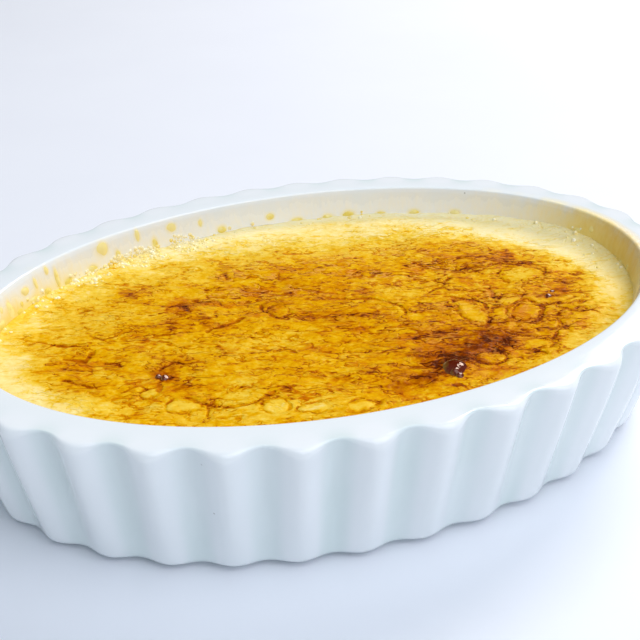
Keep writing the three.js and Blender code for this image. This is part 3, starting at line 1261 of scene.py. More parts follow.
# Where the skin caught: the burnt patch at the front, the brown band at the back, and small ones elsewhere.
SCORCHES = (
    Mark(20.5, -21.5, 6.5, 3.2, 10, 0.20),
    Mark(13.5, -25.3, 5.0, 3.0, 0, 0.28),
    Mark(6.3, -27.8, 3.0, 1.6, 0, 0.24),
    Mark(24.2, -19.2, 3.4, 1.7, 15, 0.08),
    Mark(27.0, -15.0, 22.0, 12.0, -8, 0.08),
    Mark(12.0, -24.5, 13.0, 6.0, 12, 0.12),
    Mark(28.5, -21.0, 5.5, 4.0, 20, 0.08),
    Mark(24.8, -22.8, 1.6, 1.2, 90, 0.18),
    Mark(16.0, -15.0, 6.0, 2.6, 10, 0.14),
    Mark(9.0, -20.0, 8.0, 4.5, 0, 0.11),
    Mark(7.0, -5.3, 3.4, 2.4, -25, 0.12),
    Mark(17.0, -7.0, 3.4, 2.4, 0, 0.10),
    Mark(-2.0, -2.5, 6.0, 3.2, -10, 0.10),
    Mark(-7.5, -12.0, 6.0, 2.6, 0, 0.08),
    Mark(42.0, 6.0, 4.6, 3.4, 30, 0.16),
    Mark(36.5, 7.5, 6.5, 4.0, 0, 0.09),
    Mark(43.5, -10.2, 2.6, 1.3, 0, 0.30),
    Mark(48.0, -7.5, 6.0, 6.0, 0, 0.08),
    Mark(33.6, -13.4, 2.6, 1.6, 30, 0.08),
    Mark(-33.3, -10.8, 1.8, 1.6, 0, 0.31),
    Mark(-32.0, -8.3, 3.2, 2.2, 0, 0.09),
    Mark(-30.0, -15.6, 3.8, 2.0, -20, 0.14),
    Mark(-24.4, 11.0, 2.8, 3.0, 0, 0.16),
    Mark(-24.1, 8.7, 1.3, 1.2, 0, 0.19),
    Mark(-18.8, 10.8, 3.4, 1.6, -25, 0.14),
    Mark(-27.0, 4.2, 7.5, 2.4, -8, 0.10),
    Mark(-20.0, 0.5, 5.0, 2.6, 0, 0.06),
    Mark(-9.4, 4.0, 2.6, 5.0, 10, 0.11),
    Mark(-13.2, 20.2, 2.6, 2.6, 0, 0.16),
    Mark(-8.0, 14.0, 8.0, 6.0, 0, 0.05),
    Mark(7.0, 12.0, 14.0, 7.0, 0, 0.06),
    Mark(26.0, 11.0, 12.0, 6.5, -12, 0.08),
    Mark(-45.5, -0.8, 4.2, 2.8, 0, 0.11),
    Mark(-45.5, -8.3, 5.0, 2.2, -35, 0.11),
    Mark(-40.6, -3.6, 3.0, 2.4, -30, 0.08),
    Mark(-33.0, 20.6, 1.9, 1.6, 0, 0.22),
    Mark(-37.2, -17.2, 2.0, 0.9, 0, 0.09),
    Mark(-41.0, -20.3, 1.8, 0.9, 0, 0.11),
    Mark(-28.5, -21.8, 1.3, 0.9, 0, 0.10),
    Mark(-2.5, -23.8, 2.8, 1.6, 0, 0.10),
    Mark(0.5, -28.0, 5.0, 2.0, 0, 0.08),
    Mark(-52.0, 6.0, 2.6, 5.0, 0, 0.04),
    Mark(-45.4, 23.1, 1.5, 1.0, 0, 0.16),
    Mark(-44.7, 20.2, 1.4, 1.0, 0, 0.14),
    Mark(-41.9, 21.6, 1.5, 1.1, 0, 0.16),
    Mark(-42.1, 26.1, 1.8, 1.2, -30, 0.14),
    Mark(-25.0, 29.5, 3.6, 1.6, 0, 0.10),
    Mark(-14.5, 33.5, 2.4, 1.2, 0, 0.12),
    Mark(-11.0, -1.0, 17.0, 13.0, 0, 0.025),
)

# Golden places between them, where the skin stayed lighter.
GOLDEN = (
    Mark(-15.0, -5.0, 5.0, 6.0, 0, -0.07),
    Mark(15.0, 1.5, 3.6, 2.4, 0, -0.06),
    Mark(-24.0, 24.0, 14.0, 5.0, 0, -0.06),
    Mark(-45.0, 12.0, 8.0, 8.0, 0, -0.06),
    Mark(-18.0, -27.0, 16.0, 4.0, -12, -0.08),
    Mark(47.0, -14.0, 4.0, 4.0, 0, -0.03),
    Mark(-5.0, 22.0, 5.0, 3.0, 0, -0.05),
    Mark(-36.0, 12.0, 9.0, 4.0, 0, -0.05),
    Mark(20.0, 20.0, 8.0, 5.0, 0, -0.06),
    Mark(-25.0, -21.0, 5.0, 3.0, 0, -0.05),
)

# Smooth cells of the skin, each with a crease round it; `toast` is what they add inside.
CELLS = (
    Mark(24.6, -10.6, 5.3, 2.3, 95, -0.10),
    Mark(29.0, -13.3, 2.7, 1.4, 70, -0.10),
    Mark(33.2, -9.2, 2.6, 1.8, 20, -0.12),
    Mark(33.9, -14.4, 3.3, 2.5, 30, -0.06),
    Mark(40.8, -0.9, 4.3, 3.0, -15, -0.12),
    Mark(29.2, -24.2, 3.9, 2.3, -30, -0.10),
    Mark(19.6, -26.4, 2.8, 2.3, 0, -0.12),
    Mark(-32.8, -20.2, 3.0, 2.0, -20, -0.12),
    Mark(-23.4, -21.4, 4.3, 2.2, -8, -0.10),
    Mark(-18.9, -25.9, 2.3, 2.3, 60, -0.11),
    Mark(-13.8, -28.6, 2.5, 1.5, -20, -0.12),
    Mark(-6.5, -30.8, 3.2, 1.5, 0, -0.16),
    Mark(-36.6, -14.4, 2.2, 1.3, 30, -0.12),
    Mark(44.5, -14.6, 3.6, 1.1, -10, -0.06),
    Mark(41.5, -17.6, 3.0, 1.0, -5, -0.06),
    Mark(38.5, -20.4, 2.0, 1.2, 20, -0.08),
    Mark(-8.2, 3.4, 1.7, 2.2, 0, -0.02),
    Mark(32.6, 7.9, 1.9, 1.4, 0, -0.10),
)

# The deep creases of the skin.
CREASES = (
    ((4.5, 2.9), (9.0, 1.0), (11.8, -1.6), (13.2, -4.0), (13.0, -7.0)),
    ((-10.6, 6.5), (-10.8, 4.3), (-10.2, 2.0), (-8.8, 0.4), (-6.3, 1.4)),
    ((-26.6, 11.6), (-24.5, 12.6), (-21.0, 12.2), (-18.4, 11.1), (-16.9, 8.6)),
    ((-24.7, 12.5), (-24.2, 10.2), (-24.0, 8.2)),
    ((-18.8, 16.9), (-15.5, 16.4)),
    ((-14.2, 21.6), (-13.0, 19.6)),
    ((22.5, -3.5), (24.5, -4.6), (27.0, -6.2), (28.0, -9.0), (27.4, -11.8)),
    ((22.0, -8.0), (21.8, -11.0), (22.6, -13.4)),
    ((26.6, -19.2), (30.5, -21.8), (32.6, -24.4)),
    ((32.6, -24.4), (35.4, -23.0)),
    ((24.9, -21.6), (25.2, -24.8)),
    ((26.5, -26.8), (28.8, -28.1)),
    ((17.0, -27.2), (19.5, -28.9), (22.2, -27.4), (21.9, -24.0)),
    ((36.2, 0.6), (36.8, -2.8)),
    ((38.8, 3.8), (44.0, 2.2), (46.4, -0.4), (45.0, -2.0)),
    ((31.3, -11.6), (33.5, -11.0), (36.0, -10.6), (37.8, -13.5), (36.0, -16.8), (33.4, -18.0)),
    ((31.8, -4.2), (31.0, -7.2)),
    ((38.5, -13.5), (45.5, -15.2)),
    ((37.5, -18.6), (37.4, -22.2)),
    ((40.0, -15.5), (43.2, -18.6)),
    ((-48.5, 6.4), (-47.4, 4.9), (-44.4, 4.9)),
    ((-48.0, 1.3), (-45.0, -0.7), (-42.4, 2.2)),
    ((-42.0, -2.4), (-40.3, -3.3), (-39.2, -4.9)),
    ((-49.5, -5.6), (-47.0, -8.0), (-44.6, -10.2)),
    ((-28.6, -21.6), (-31.5, -18.4)),
    ((-28.6, -21.6), (-25.0, -23.8), (-21.5, -23.8), (-18.2, -22.5)),
    ((-28.6, -21.6), (-29.5, -25.0)),
    ((-33.4, -8.2), (-31.0, -6.8), (-28.8, -8.6)),
    ((-22.5, 0.4), (-19.0, 1.8), (-15.3, 2.8)),
    ((20.0, -0.7), (24.5, 1.0), (27.6, 3.3)),
    ((29.0, 5.8), (33.6, 4.7), (39.2, 4.2)),
)


@dataclass(frozen=True)
class Swell:
    """A long low wave of the skin: its length, direction in degrees, height and start."""

    length: float
    direction: float
    height: float
    start: float


@dataclass(frozen=True)
class Blister:
    """A place where the skin was lifted by steam: its middle, breadth and height."""

    x: float
    y: float
    breadth: float
    height: float


@dataclass(frozen=True)
class RingEdge:
    """The pale ring along the wall at one bearing.

    It stays pale up to `start` millimetres from the wall and has turned brown at `end`. `toast` is its
    browning at the wall, and `fringe` what the last two millimetres at the wall have on top.
    """

    bearing: float
    start: float
    end: float
    toast: float
    fringe: float = 0.0


@dataclass
class Custard:
    """The baked custard: a body that fills the bowl, and a top with its wrinkled, browned skin.

    It boiled up higher at one end, in a heap round `heap_bearing`. The bands are where the painted
    highlight on the wrinkles' flanks is strongest.
    """

    bowl: Bowl = field(default_factory=Bowl)
    level: float = CUSTARD_LEVEL
    meniscus_height: float = 0.5
    meniscus_reach: float = 3.5
    meniscus_cling: float = 0.45
    ragged_edge: float = 0.25
    heap_bearing: float = 14.0
    heap_half_length: float = 26.0
    heap_height: float = 1.2
    heap_reach: float = 8.0
    into_wall: float = 0.05
    edge_inset: float = 1.4
    side_heights: tuple[float, ...] = (18.0, 13.0)
    floor_gap: float = 0.3
    top_cells: int = 290
    wrinkle_height: float = 0.10
    crust_height: float = 0.22
    groove_depth: float = 0.16
    lip_height: float = 0.08
    # How much painted highlight the wrinkles' flanks have everywhere.
    bare_everywhere: float = 0.12
    bands: tuple[Mark, ...] = (Mark(12.0, 14.0, 42.0, 10.0, -6, 0.48), Mark(28.0, -14.0, 24.0, 14.0, 0, 0.22))
    swells: tuple[Swell, ...] = (
        Swell(31.0, 20, 0.16, 0.4),
        Swell(19.0, 75, 0.12, 2.1),
        Swell(12.5, 130, 0.10, 4.0),
        Swell(9.0, 48, 0.07, 1.2),
    )
    blisters: tuple[Blister, ...] = (
        Blister(13.0, -26.0, 7.0, 0.35),
        Blister(24.0, -9.0, 7.0, 0.25),
        Blister(-24.0, 9.5, 8.0, 0.25),
        Blister(43.0, 3.0, 8.0, 0.25),
    )
    pale_ring: tuple[RingEdge, ...] = (
        RingEdge(0, 5.5, 16.0, 0.18, 0.03),
        RingEdge(15, 5.5, 17.0, 0.14),
        RingEdge(30, 4.5, 16.5, 0.14, -0.06),
        RingEdge(45, 4.0, 19.0, 0.15, -0.06),
        RingEdge(60, 0.0, 22.0, 0.18, -0.12),
        RingEdge(75, 4.0, 22.0, 0.23, -0.14),
        RingEdge(90, 0.0, 21.0, 0.17, -0.08),
        RingEdge(107, -1.0, 17.0, 0.12),
        RingEdge(118, -3.5, 16.5, 0.20),
        RingEdge(135, -3.5, 16.5, 0.24),
        RingEdge(150, -4.0, 16.0, 0.28, 0.06),
        RingEdge(165, 0.0, 12.0, 0.26, 0.04),
        RingEdge(180, 2.0, 12.5, 0.22, 0.05),
        RingEdge(195, 3.0, 12.0, 0.22, 0.02),
        RingEdge(210, 2.0, 13.0, 0.25),
        RingEdge(225, 0.0, 9.0, 0.29),
        RingEdge(285, 0.0, 7.0, 0.36),
        RingEdge(300, 0.0, 7.0, 0.38),
        RingEdge(315, 0.0, 9.0, 0.34),
        RingEdge(330, 1.0, 10.5, 0.30),
        RingEdge(345, 3.0, 10.5, 0.22),
        RingEdge(360, 5.5, 16.0, 0.18, 0.03),
    )

    def disc(self) -> tuple[Array, Array]:
        """Lays the top's grid on a round disc.

        Returns:
            The oval's turn and the share of the radius of each vertex.
        """
        side = np.linspace(-1, 1, self.top_cells + 1)
        u, v = np.meshgrid(side, side, indexing="ij")
        x, y = u * np.sqrt(1 - v**2 / 2), v * np.sqrt(1 - u**2 / 2)
        turn = (np.arctan2(y, x) / (2 * math.pi)) % 1
        return turn.ravel(), np.minimum(np.hypot(x, y), 1).ravel()

    def heap(self, turn: Array) -> Array:
        """How much higher the custard boiled up and set at the right end."""
        off = ((turn * 360 - self.heap_bearing + 180) % 360 - 180) / self.heap_half_length
        return self.heap_height * np.exp(-(off**2))

    def edge_height(self, turn: Array) -> Array:
        """Tells how high the custard's uneven edge clings to the wall.

        Args:
            turn: Where on the oval.

        Returns:
            The heights above the table.
        """
        x, y = 60 * np.cos(2 * math.pi * turn), 40 * np.sin(2 * math.pi * turn)
        ragged = Grain(7.0, 41).at(x, y) + 0.5 * Grain(2.2, 42).at(x, y)
        return self.level + self.meniscus_height + self.heap(turn) + self.ragged_edge * ragged

    def rise(self, turn: Array, from_wall: Array, edge_height: Array) -> Array:
        """Tells how high the custard climbs near the wall: gently at first, and steeply against the wall.

        Args:
            turn: The oval's turn at each place.
            from_wall: How far each lies from the wall.
            edge_height: How high the edge clings to the wall there.

        Returns:
            The height above the middle's level.
        """
        heap = self.heap(turn)
        broad = np.clip(1 - from_wall / self.meniscus_reach, 0, 1) ** 2
        slope = np.clip(1 - from_wall / self.heap_reach, 0, 1) ** 2
        climb = 0.6 * broad + 0.4 * np.exp(-from_wall / self.meniscus_cling)
        return climb * (edge_height - heap - self.level) + slope * heap

    def relief(self, x: Array, y: Array) -> Array:
        """Shapes the long swells and the blisters of the skin, which the CAD solid has too.

        Args:
            x: Places along X, in millimetres.
            y: Places along Y.

        Returns:
            The height that they add.
        """
        height = np.zeros(x.shape)
        for swell in self.swells:
            angle = math.radians(swell.direction)
            along = x * math.cos(angle) + y * math.sin(angle)
            height += swell.height * np.sin(2 * math.pi * along / swell.length + swell.start)
        for blister in self.blisters:
            share = np.hypot(x - blister.x, y - blister.y) / (blister.breadth / 2)
            height += blister.height * np.exp(-(share**2))
        return height

    def crease_distance(self, x: Array, y: Array) -> Array:
        """Measures how far each place lies from the nearest deep crease or cell edge.

        Args:
            x: Places along X, in millimetres.
            y: Places along Y.

        Returns:
            The distances, up to 4 millimetres.
        """
        dragged_x, dragged_y = np.stack([x, y]) + drag(x, y, 0.55, 3.4, 51) + drag(x, y, 0.25, 1.3, 53)
        nearest = np.full(x.shape, FAR_MM)
        for path in CREASES:
            nearest = np.minimum(nearest, distance_to_path(dragged_x, dragged_y, path))
        # A cell's edge is a shallower crease, worn away in places.
        worn = 0.32 * (0.35 + 0.9 * smoothstep(-0.2, 0.5, Grain(2.6, 55).at(x, y)))
        for cell in CELLS:
            rim = np.abs(cell.reach(dragged_x, dragged_y) - 1) * cell.half_width
            nearest = np.minimum(nearest, rim + worn)
        return nearest

    def wrinkles(self, x: Array, y: Array) -> Array:
        """Shapes the folds of the skin, a millimetre or two apart.

        Args:
            x: Places along X, in millimetres.
            y: Places along Y.

        Returns:
            Their height, from about -1 to 1.
        """
        dragged = np.stack([x, y]) + drag(x, y, 0.9, 4.2, 61)
        broad, narrow = (1 - 2.4 * np.abs(grain.at(*dragged)) for grain in (Grain(3.1, 63), Grain(1.7, 64)))
        return 0.55 * broad + 0.45 * narrow

    def browning(self, x: Array, y: Array, from_wall: Array, turn: Array) -> tuple[Array, Array]:
        """Works out how brown the skin is and how strongly it is mottled.

        Args:
            x: Places along X, in millimetres.
            y: Places along Y.
            from_wall: How far each lies from the bowl's wall.
            turn: The oval's turn at each.

        Returns:
            The browning, 0 to 1, and the mottling, 0 to 1.
        """
        toast = 0.55 + 0.05 * Grain(13.0, 71).at(x, y) + 0.05 * Grain(5.0, 72).at(x, y)
        dragged = np.stack([x, y]) + drag(x, y, 0.9, 2.6, 73)
        for mark in SCORCHES + GOLDEN:
            toast = toast + mark.toast * np.exp(-(mark.reach(*dragged) ** 2))
        calm = np.zeros(x.shape)
        for cell in CELLS:
            inside = 1 - smoothstep(0.55, 1.0, cell.reach(*dragged))
            toast = toast + cell.toast * inside
            calm = np.maximum(calm, inside)
        at = [edge.bearing for edge in self.pale_ring]
        start, end, wall_toast, fringe = (
            np.interp(turn * 360, at, [getattr(edge, key) for edge in self.pale_ring])
            for key in ("start", "end", "toast", "fringe")
        )
        ragged_wall = from_wall + 2.0 * Grain(6.0, 75).at(x, y) + 1.7 * Grain(2.6, 76).at(x, y)
        ring = smoothstep(start, end, ragged_wall)
        toast = wall_toast + (toast - wall_toast) * ring + fringe * np.exp(-((from_wall / 2) ** 2))
        strength = 0.84 + 0.16 * smoothstep(0.0, 20.0, x)
        mottle = strength * (0.3 + 0.7 * np.sqrt(ring)) * (1 - 0.4 * calm)
        return np.clip(toast, 0, 1), mottle

    def gleam(self, x: Array, y: Array, toast: Array) -> Array:
        """Works out how strongly the wrinkles' flanks get a painted highlight: most in the brown band at the
        back.

        Args:
            x: Places along X, in millimetres.
            y: Places along Y.
            toast: The browning at each.

        Returns:
            The share of painted highlight on the flanks, from 0 to 1.
        """
        amount = np.full(x.shape, self.bare_everywhere)
        for sheen_band in self.bands:
            amount = amount + sheen_band.toast * (1 - smoothstep(0.6, 1.1, sheen_band.reach(x, y)))
        return amount * smoothstep(0.3, 0.5, toast)

    def height_at(self, x: Array, y: Array) -> Array:
        """Finds how high the custard stands at a few places, without its fine wrinkles.

        Args:
            x: Places along X, in millimetres.
            y: Places along Y.

        Returns:
            The heights above the table.
        """
        oval = self.bowl.oval
        outward = np.hypot(x / oval.half_length, y / oval.half_width)
        turn = np.arctan2(y / oval.half_width, x / oval.half_length) / (2 * math.pi) % 1
        radius = np.linalg.norm(oval.points(turn, 0.0), axis=-1)
        from_wall = np.maximum(radius * (1 - outward) - self.edge_inset, 0)
        away = smoothstep(0.0, self.meniscus_reach, from_wall)
        return self.level + self.rise(turn, from_wall, self.edge_height(turn)) + away * self.relief(x, y)

    def top(self) -> dict[str, Array]:
        """Shapes the skin.

        Returns:
            Its points, the oval's turn at each, and what is kept on them for the finish.
        """
        turn, share = self.disc()
        edge_height = self.edge_height(turn)
        edge = self.bowl.oval.points(turn, self.bowl.outset(edge_height) + self.into_wall)
        plan = edge * share[:, None]
        x, y = plan[:, 0], plan[:, 1]
        radius = np.sum(edge * self.bowl.oval.outward(turn), axis=1)
        from_wall = (1 - share) * radius
        away = smoothstep(0.0, self.meniscus_reach, from_wall)
        crease = self.crease_distance(x, y)
        toast, mottle = self.browning(x, y, from_wall, turn)
        # A crease is a groove between two low lips, and burnt skin is a rough crust.
        groove = self.lip_height * np.exp(-(((crease - 1.0) / 0.55) ** 2))
        groove -= self.groove_depth * np.exp(-((crease / 0.42) ** 2))
        crust = self.crust_height * smoothstep(0.6, 0.9, toast) * Grain(1.5, 81).at(x, y)
        folds = self.wrinkle_height * self.wrinkles(x, y) * mottle
        height = self.level + self.rise(turn, from_wall, edge_height)
        height += away * (self.relief(x, y) + folds + groove + crust)
        return {
            "point": np.column_stack([plan, height]),
            "turn": turn,
            "toast": toast,
            "mottle": mottle,
            "crease_mm": crease,
            "gleam": self.gleam(x, y, toast),
        }

    def build(self, skin: bpy.types.Material) -> bpy.types.Object:
        """Makes the custard.

        Args:
            skin: Its finish.

        Returns:
            The piece, which stands for the CAD node `custard`.
        """
        fields = self.top()
        side = self.top_cells + 1
        index = np.arange(side * side).reshape(side, side)
        corners = (index[:-1, :-1], index[1:, :-1], index[1:, 1:], index[:-1, 1:])
        faces = np.stack(corners, -1).reshape(-1, 4).tolist()
        rim = np.concatenate([index[:-1, 0], index[-1, :-1], index[:0:-1, -1], index[0, :0:-1]])
        # The hidden side runs down the wall and the fillet, and closes over the floor.
        points, previous, count = [fields["point"]], rim, side * side
        stations = [(self.bowl.outset(height) + self.into_wall, height) for height in self.side_heights]
        for outset, height in stations + self.bowl.fillet_stations(self.floor_gap, 4):
            plan = self.bowl.oval.points(fields["turn"][rim], outset)
            points.append(np.column_stack([plan, np.full(len(rim), height)]))
            current = count + np.arange(len(rim))
            faces += band(previous, current, turned=True)
            previous, count = current, count + len(rim)
        points.append([[0.0, 0.0, self.bowl.floor_height + self.floor_gap]])
        faces += band(previous, np.full(len(rim), count), turned=True)
        mesh = mesh_from("custard_body", np.concatenate(points), faces)
        hidden = len(mesh.vertices) - side * side
        for key, filler in (("toast", 0.12), ("mottle", 0.2), ("crease_mm", FAR_MM), ("gleam", 0.0)):
            store(mesh, key, np.concatenate([fields[key], np.full(hidden, filler)]))
        mesh.materials.append(skin)
        return place("baked_custard", mesh, ["custard"])


# ---- Froth, splashes and burnt blisters ----------------------------------------------------------


@dataclass
class WallSplashes:
    """Custard that spat onto the inner wall and set there as thin yellow drops and runs."""

    custard: Custard
    sunk: float = 0.03
    sag: float = 0.15
    seed: int = 900
    drops: tuple[Bead, ...] = WALL_DROPS

    def build(self, finish: bpy.types.Material) -> bpy.types.Object:
        """Makes the splashes.

        Args:
            finish: Their finish.

        Returns:
            The piece.
        """
        oval, bowl = self.custard.bowl.oval, self.custard.bowl
        points = []
        laid, faces = lay_out(self.drops, self.seed)
        for drop, along, across, share in laid:
            lift = drop.height * (1 - share**2) - self.sunk * share
            lift[-1] = -2 * self.sunk
            turn = drop.x / 360 + along / oval.stretch(drop.x / 360)
            height = drop.y + across - self.sag * np.abs(across)
            points.append(np.column_stack([oval.points(turn, bowl.outset(height) - lift), height]))
        mesh = mesh_from("splashes", np.concatenate(points), faces)
        mesh.materials.append(finish)
        return place("custard_splashes", mesh)


@dataclass(frozen=True)
class Lump(Bead):
    """A bead whose top leans: `lean` is the slope and `way` where it falls to, in degrees from +X."""

    lean: float = 0.0
    way: float = -56.0


@dataclass
class BurntBlisters:
    """Blisters of sugar that burnt on the skin: three in a clump at the front, and two small pairs."""

    custard: Custard
    sunk: float = 0.25
    flatness: float = 3.2
    seed: int = 950
    blisters: tuple[Lump, ...] = (
        Lump(12.2, -27.1, 2.3, 2.4, 0.60, 0.07),
        Lump(11.8, -28.6, 1.15, 1.0, 0.76, 0.05, 0.29),
        Lump(12.0, -29.6, 0.85, 0.75, 0.42, 0.08, 0.29),
        Lump(-34.2, -10.4, 0.70, 0.65, 0.34, 0.08, 0.50, -39),
        Lump(-33.3, -11.4, 0.95, 0.9, 0.46, 0.05, 0.54, -39),
        Lump(40.6, -11.2, 0.8, 0.75, 0.30, 0.06, 0.26, -72),
        Lump(42.4, -9.7, 0.8, 0.6, 0.22, 0.08, 0.26, -72),
    )

    def build(self, finish: bpy.types.Material) -> bpy.types.Object:
        """Makes the blisters.

        Args:
            finish: Their finish.

        Returns:
            The piece.
        """
        points, rims = [], []
        laid, faces = lay_out(self.blisters, self.seed)
        for blister, along, across, share in laid:
            x, y = blister.x + along, blister.y + across
            way = math.radians(blister.way)
            forth = math.cos(way) * along + math.sin(way) * across
            top = blister.height + self.sunk - blister.lean * forth
            rise = top * (1 - share**self.flatness) - self.sunk
            rise[-1] = -2 * self.sunk
            points.append(np.column_stack([x, y, self.custard.height_at(x, y) + rise]))
            rim = share * (0.5 - 0.5 * forth / blister.half_length)
            rim[-1] = 1
            rims.append(rim)
        mesh = mesh_from("blisters", np.concatenate(points), faces)
        store(mesh, "rim", np.concatenate(rims))
        mesh.materials.append(finish)
        return place("burnt_blisters", mesh)


@dataclass(frozen=True)
class Raft:
    """A raft of froth along the wall.

    It has its middle and half length round the oval in degrees, how far it reaches onto the custard and
    up the wall in millimetres, and how dense it is.
    """

    bearing: float
    half_length: float
    inward: float
    upward: float
    density: float


@dataclass
class Froth:
    """Rafts of small bubbles that set along the custard's edge."""

    custard: Custard
    rafts: tuple[Raft, ...] = (
        Raft(118.5, 9.0, 5.0, 1.4, 1.0),
        Raft(105.0, 4.2, 5.0, 1.9, 1.0),
        Raft(131.0, 4.0, 6.0, 1.2, 0.6),
        Raft(143.0, 9.0, 3.5, 1.4, 0.3),
        Raft(160.0, 9.0, 3.0, 1.0, 0.12),
        Raft(78.0, 24.0, 2.2, 0.6, 0.10),
        Raft(40.0, 16.0, 2.6, 0.5, 0.08),
        Raft(6.0, 12.0, 5.0, 1.6, 0.14),
        Raft(352.0, 8.0, 5.0, 0.8, 0.08),
    )
    smallest: float = 0.24
    largest: float = 0.56
    spacing: float = 0.46
    sunk: float = 0.22
    seed: int = 7
    steps_round: int = 480
    farthest_in: float = 8.0
    farthest_up: float = 2.4
    most_per_m2: float = 4.0e6

    def ground(self) -> bpy.types.Mesh:
        """Makes the strip of custard and wall that the bubbles may stand on, with how dense they are on it.

        Returns:
            The mesh.
        """
        inward, upward = np.linspace(-self.farthest_in, 0, 21), np.linspace(0.3, self.farthest_up, 8)
        reach = np.concatenate([inward, upward])
        turn, along = np.meshgrid(np.arange(self.steps_round) / self.steps_round, reach, indexing="ij")
        turn, along = turn.ravel(), along.ravel()
        height = self.custard.edge_height(turn) + np.maximum(along, 0)
        outset = self.custard.bowl.outset(height) + np.minimum(along, 0) + self.sunk
        plan = self.custard.bowl.oval.points(turn, outset)
        on_custard = self.custard.height_at(plan[:, 0], plan[:, 1]) - self.sunk
        points = np.column_stack([plan, np.where(along < 0, on_custard, height)])
        density = np.zeros(len(turn))
        ragged = 0.35 * Grain(3.0, 91).at(points[:, 0], points[:, 1] + points[:, 2])
        for raft in self.rafts:
            off = np.abs((turn * 360 - raft.bearing + 180) % 360 - 180) / raft.half_length
            out = np.where(along < 0, -along / raft.inward, along / raft.upward)
            inside = 1 - smoothstep(0.75, 1.0, np.hypot(off, out) + ragged)
            density = np.maximum(density, raft.density * inside)
        index = np.arange(len(turn)).reshape(self.steps_round, len(reach))
        ahead = np.roll(index, -1, axis=0)
        corners = (index[:, :-1], index[:, 1:], ahead[:, 1:], ahead[:, :-1])
        mesh = mesh_from("froth_ground", points, np.stack(corners, -1).reshape(-1, 4).tolist())
        store(mesh, "density", density)
        return mesh

    def build(self, finish: bpy.types.Material) -> bpy.types.Object:
        """Stands bubbles of many sizes on the ground with a geometry tree.

        Args:
            finish: Their finish.

        Returns:
            The piece.
        """
        values = {
            "Spacing": self.spacing * MM,
            "Smallest": self.smallest * MM,
            "Largest": self.largest * MM,
            "Most": self.most_per_m2,
            "Seed": self.seed,
            "Material": finish,
        }
        growth = Growth("froth", values)
        node, given = growth.node, growth.given
        scattering = {
            "Mesh": given["Geometry"],
            "Distance Min": given["Spacing"],
            "Density Max": given["Most"],
            "Density Factor": node(KEPT, {"Name": "density"}, data_type="FLOAT").outputs[0],
            "Seed": given["Seed"],
        }
        spots = node("GeometryNodeDistributePointsOnFaces", scattering, distribute_method="POISSON")
        ball = node("GeometryNodeMeshIcoSphere", {"Radius": 1.0, "Subdivisions": 2})
        bubble = node("GeometryNodeSetShadeSmooth", {"Geometry": ball.outputs["Mesh"], "Shade Smooth": True})
        sizes = {2: given["Smallest"], 3: given["Largest"], "Seed": given["Seed"]}
        size = node("FunctionNodeRandomValue", sizes, data_type="FLOAT").outputs[1]
        standing = {"Points": spots.outputs["Points"], "Instance": bubble, "Scale": size}
        copies = node("GeometryNodeInstanceOnPoints", standing)
        return place("froth_bubbles", growth.run(copies, self.ground()))


# ---- Camera, light and table ---------------------------------------------------------------------


@dataclass(frozen=True)
class Camera:
    """A hand-held view from a little above, along the dish's length."""

    location: tuple[float, float, float] = (-59.4, -152.2, 111.7)
    yaw: float = 20.86
    pitch: float = 29.62
    roll: float = -0.73
    lens: float = 56.69
    sensor: float = 36.0

    def build(self) -> None:
        """Makes the camera and gives it to the scene."""
        yaw, pitch, roll = (math.radians(angle) for angle in (self.yaw, self.pitch, self.roll))
        ahead = (math.sin(yaw) * math.cos(pitch), math.cos(yaw) * math.cos(pitch), -math.sin(pitch))
        forward = Vector(ahead)
        level = Vector((math.cos(yaw), -math.sin(yaw), 0))
        upright = level.cross(forward)
        right = math.cos(roll) * level + math.sin(roll) * upright
        up = -math.sin(roll) * level + math.cos(roll) * upright
        data = bpy.data.cameras.new("camera")
        data.lens, data.sensor_width = self.lens, self.sensor
        data.clip_start, data.clip_end = 0.01, 10.0
        camera = bpy.data.objects.new("camera", data)
        camera.matrix_world = Matrix((right, up, -forward)).transposed().to_4x4()
        camera.location = Vector(self.location) * MM
        bpy.context.scene.collection.objects.link(camera)
        bpy.context.scene.camera = camera


@dataclass(frozen=True)
class SoftBox:
    """A soft studio light: where it hangs, what it looks at, its size in metres, power and colour."""

    name: str
    location: tuple[float, float, float]
    size: float
    power: float
    colour: str

    def build(self) -> None:
        """Hangs the light in the scene."""
        data = bpy.data.lights.new(self.name, "AREA")
        data.size, data.energy = self.size, self.power
        data.color = linear(self.colour)[:3]
        lamp = bpy.data.objects.new(self.name, data)
        lamp.location = self.location
        lamp.rotation_euler = (-Vector(self.location)).to_track_quat("-Z", "Y").to_euler()
        bpy.context.scene.collection.objects.link(lamp)


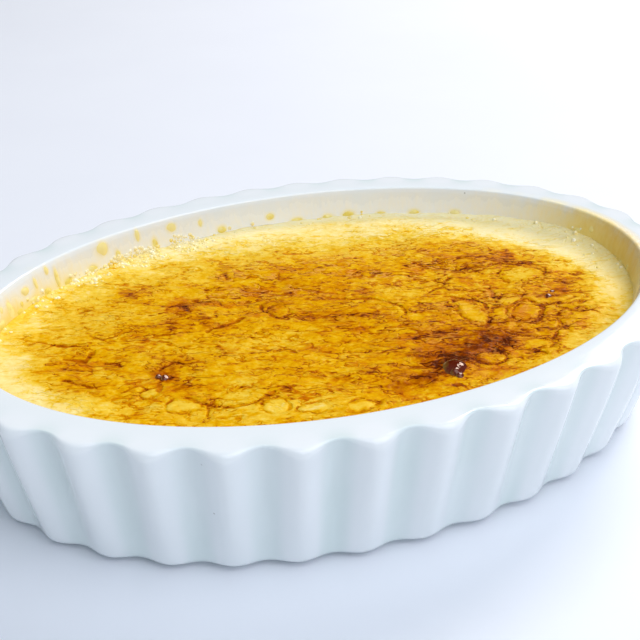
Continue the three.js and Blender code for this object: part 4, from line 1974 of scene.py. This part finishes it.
@dataclass
class Studio:
    """The table, the lights and the even light of the room."""

    lamps: tuple[SoftBox, ...] = (
        SoftBox("window", (0.62, 0.42, 0.66), 0.40, 5.9, "#FFF8F4"),
        SoftBox("ceiling", (0.27, -0.73, 1.25), 1.5, 17.2, "#F2F4FE"),
    )
    room_colour: str = "#D6E8F2"
    room_strength: float = 0.35
    far_side: tuple[float, float, float] = (0.356, 0.934, 0.0)
    far_colour: str = "#6E5A48"
    table_size: float = 6.0

    def build(self) -> None:
        """Makes all of them."""
        world = bpy.data.worlds.new("room")
        world.use_nodes = True
        # The far side of the room is dim and warm.
        node = partial(add_node, world.node_tree)
        way = node(COORDINATES).outputs["Generated"]
        towards = node(VECTOR, [way, self.far_side], operation="DOT_PRODUCT").outputs["Value"]
        share = node(RANGE, [towards, 0.35, 0.85], interpolation_type="SMOOTHSTEP")
        colours = {0: share, 6: linear(self.room_colour), 7: linear(self.far_colour)}
        wall = node(MIX, colours, data_type="RGBA")
        background = world.node_tree.nodes["Background"]
        feed(world, background, {"Color": wall.outputs[2]}, {"Strength": self.room_strength})
        bpy.context.scene.world = world
        for lamp in self.lamps:
            lamp.build()
        half = self.table_size / MM / 2
        corners = [[-half, -half, 0], [half, -half, 0], [half, half, 0], [-half, half, 0]]
        mesh = mesh_from("table_top", corners, [[0, 1, 2, 3]])
        mesh.materials.append(PaintedBoard().build())
        table = bpy.data.objects.new("table_top", mesh)
        bpy.context.scene.collection.objects.link(table)
        bpy.context.scene.view_settings.view_transform = "Standard"


def main() -> None:
    """Builds the scene in order."""
    logging.basicConfig(level=logging.INFO, format="%(name)s %(message)s")
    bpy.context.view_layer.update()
    Camera().build()
    Studio().build()
    FlutedDish().build(GlazedPorcelain().build())
    custard = Custard()
    custard.build(BrownedSkin().build())
    Froth(custard).build(SetFroth().build())
    WallSplashes(custard).build(SetFroth("set custard splash", pale="#FBEDA2", deep="#F1D65E").build())
    BurntBlisters(custard).build(BurntSugar().build())


if __name__ == "__main__":
    main()
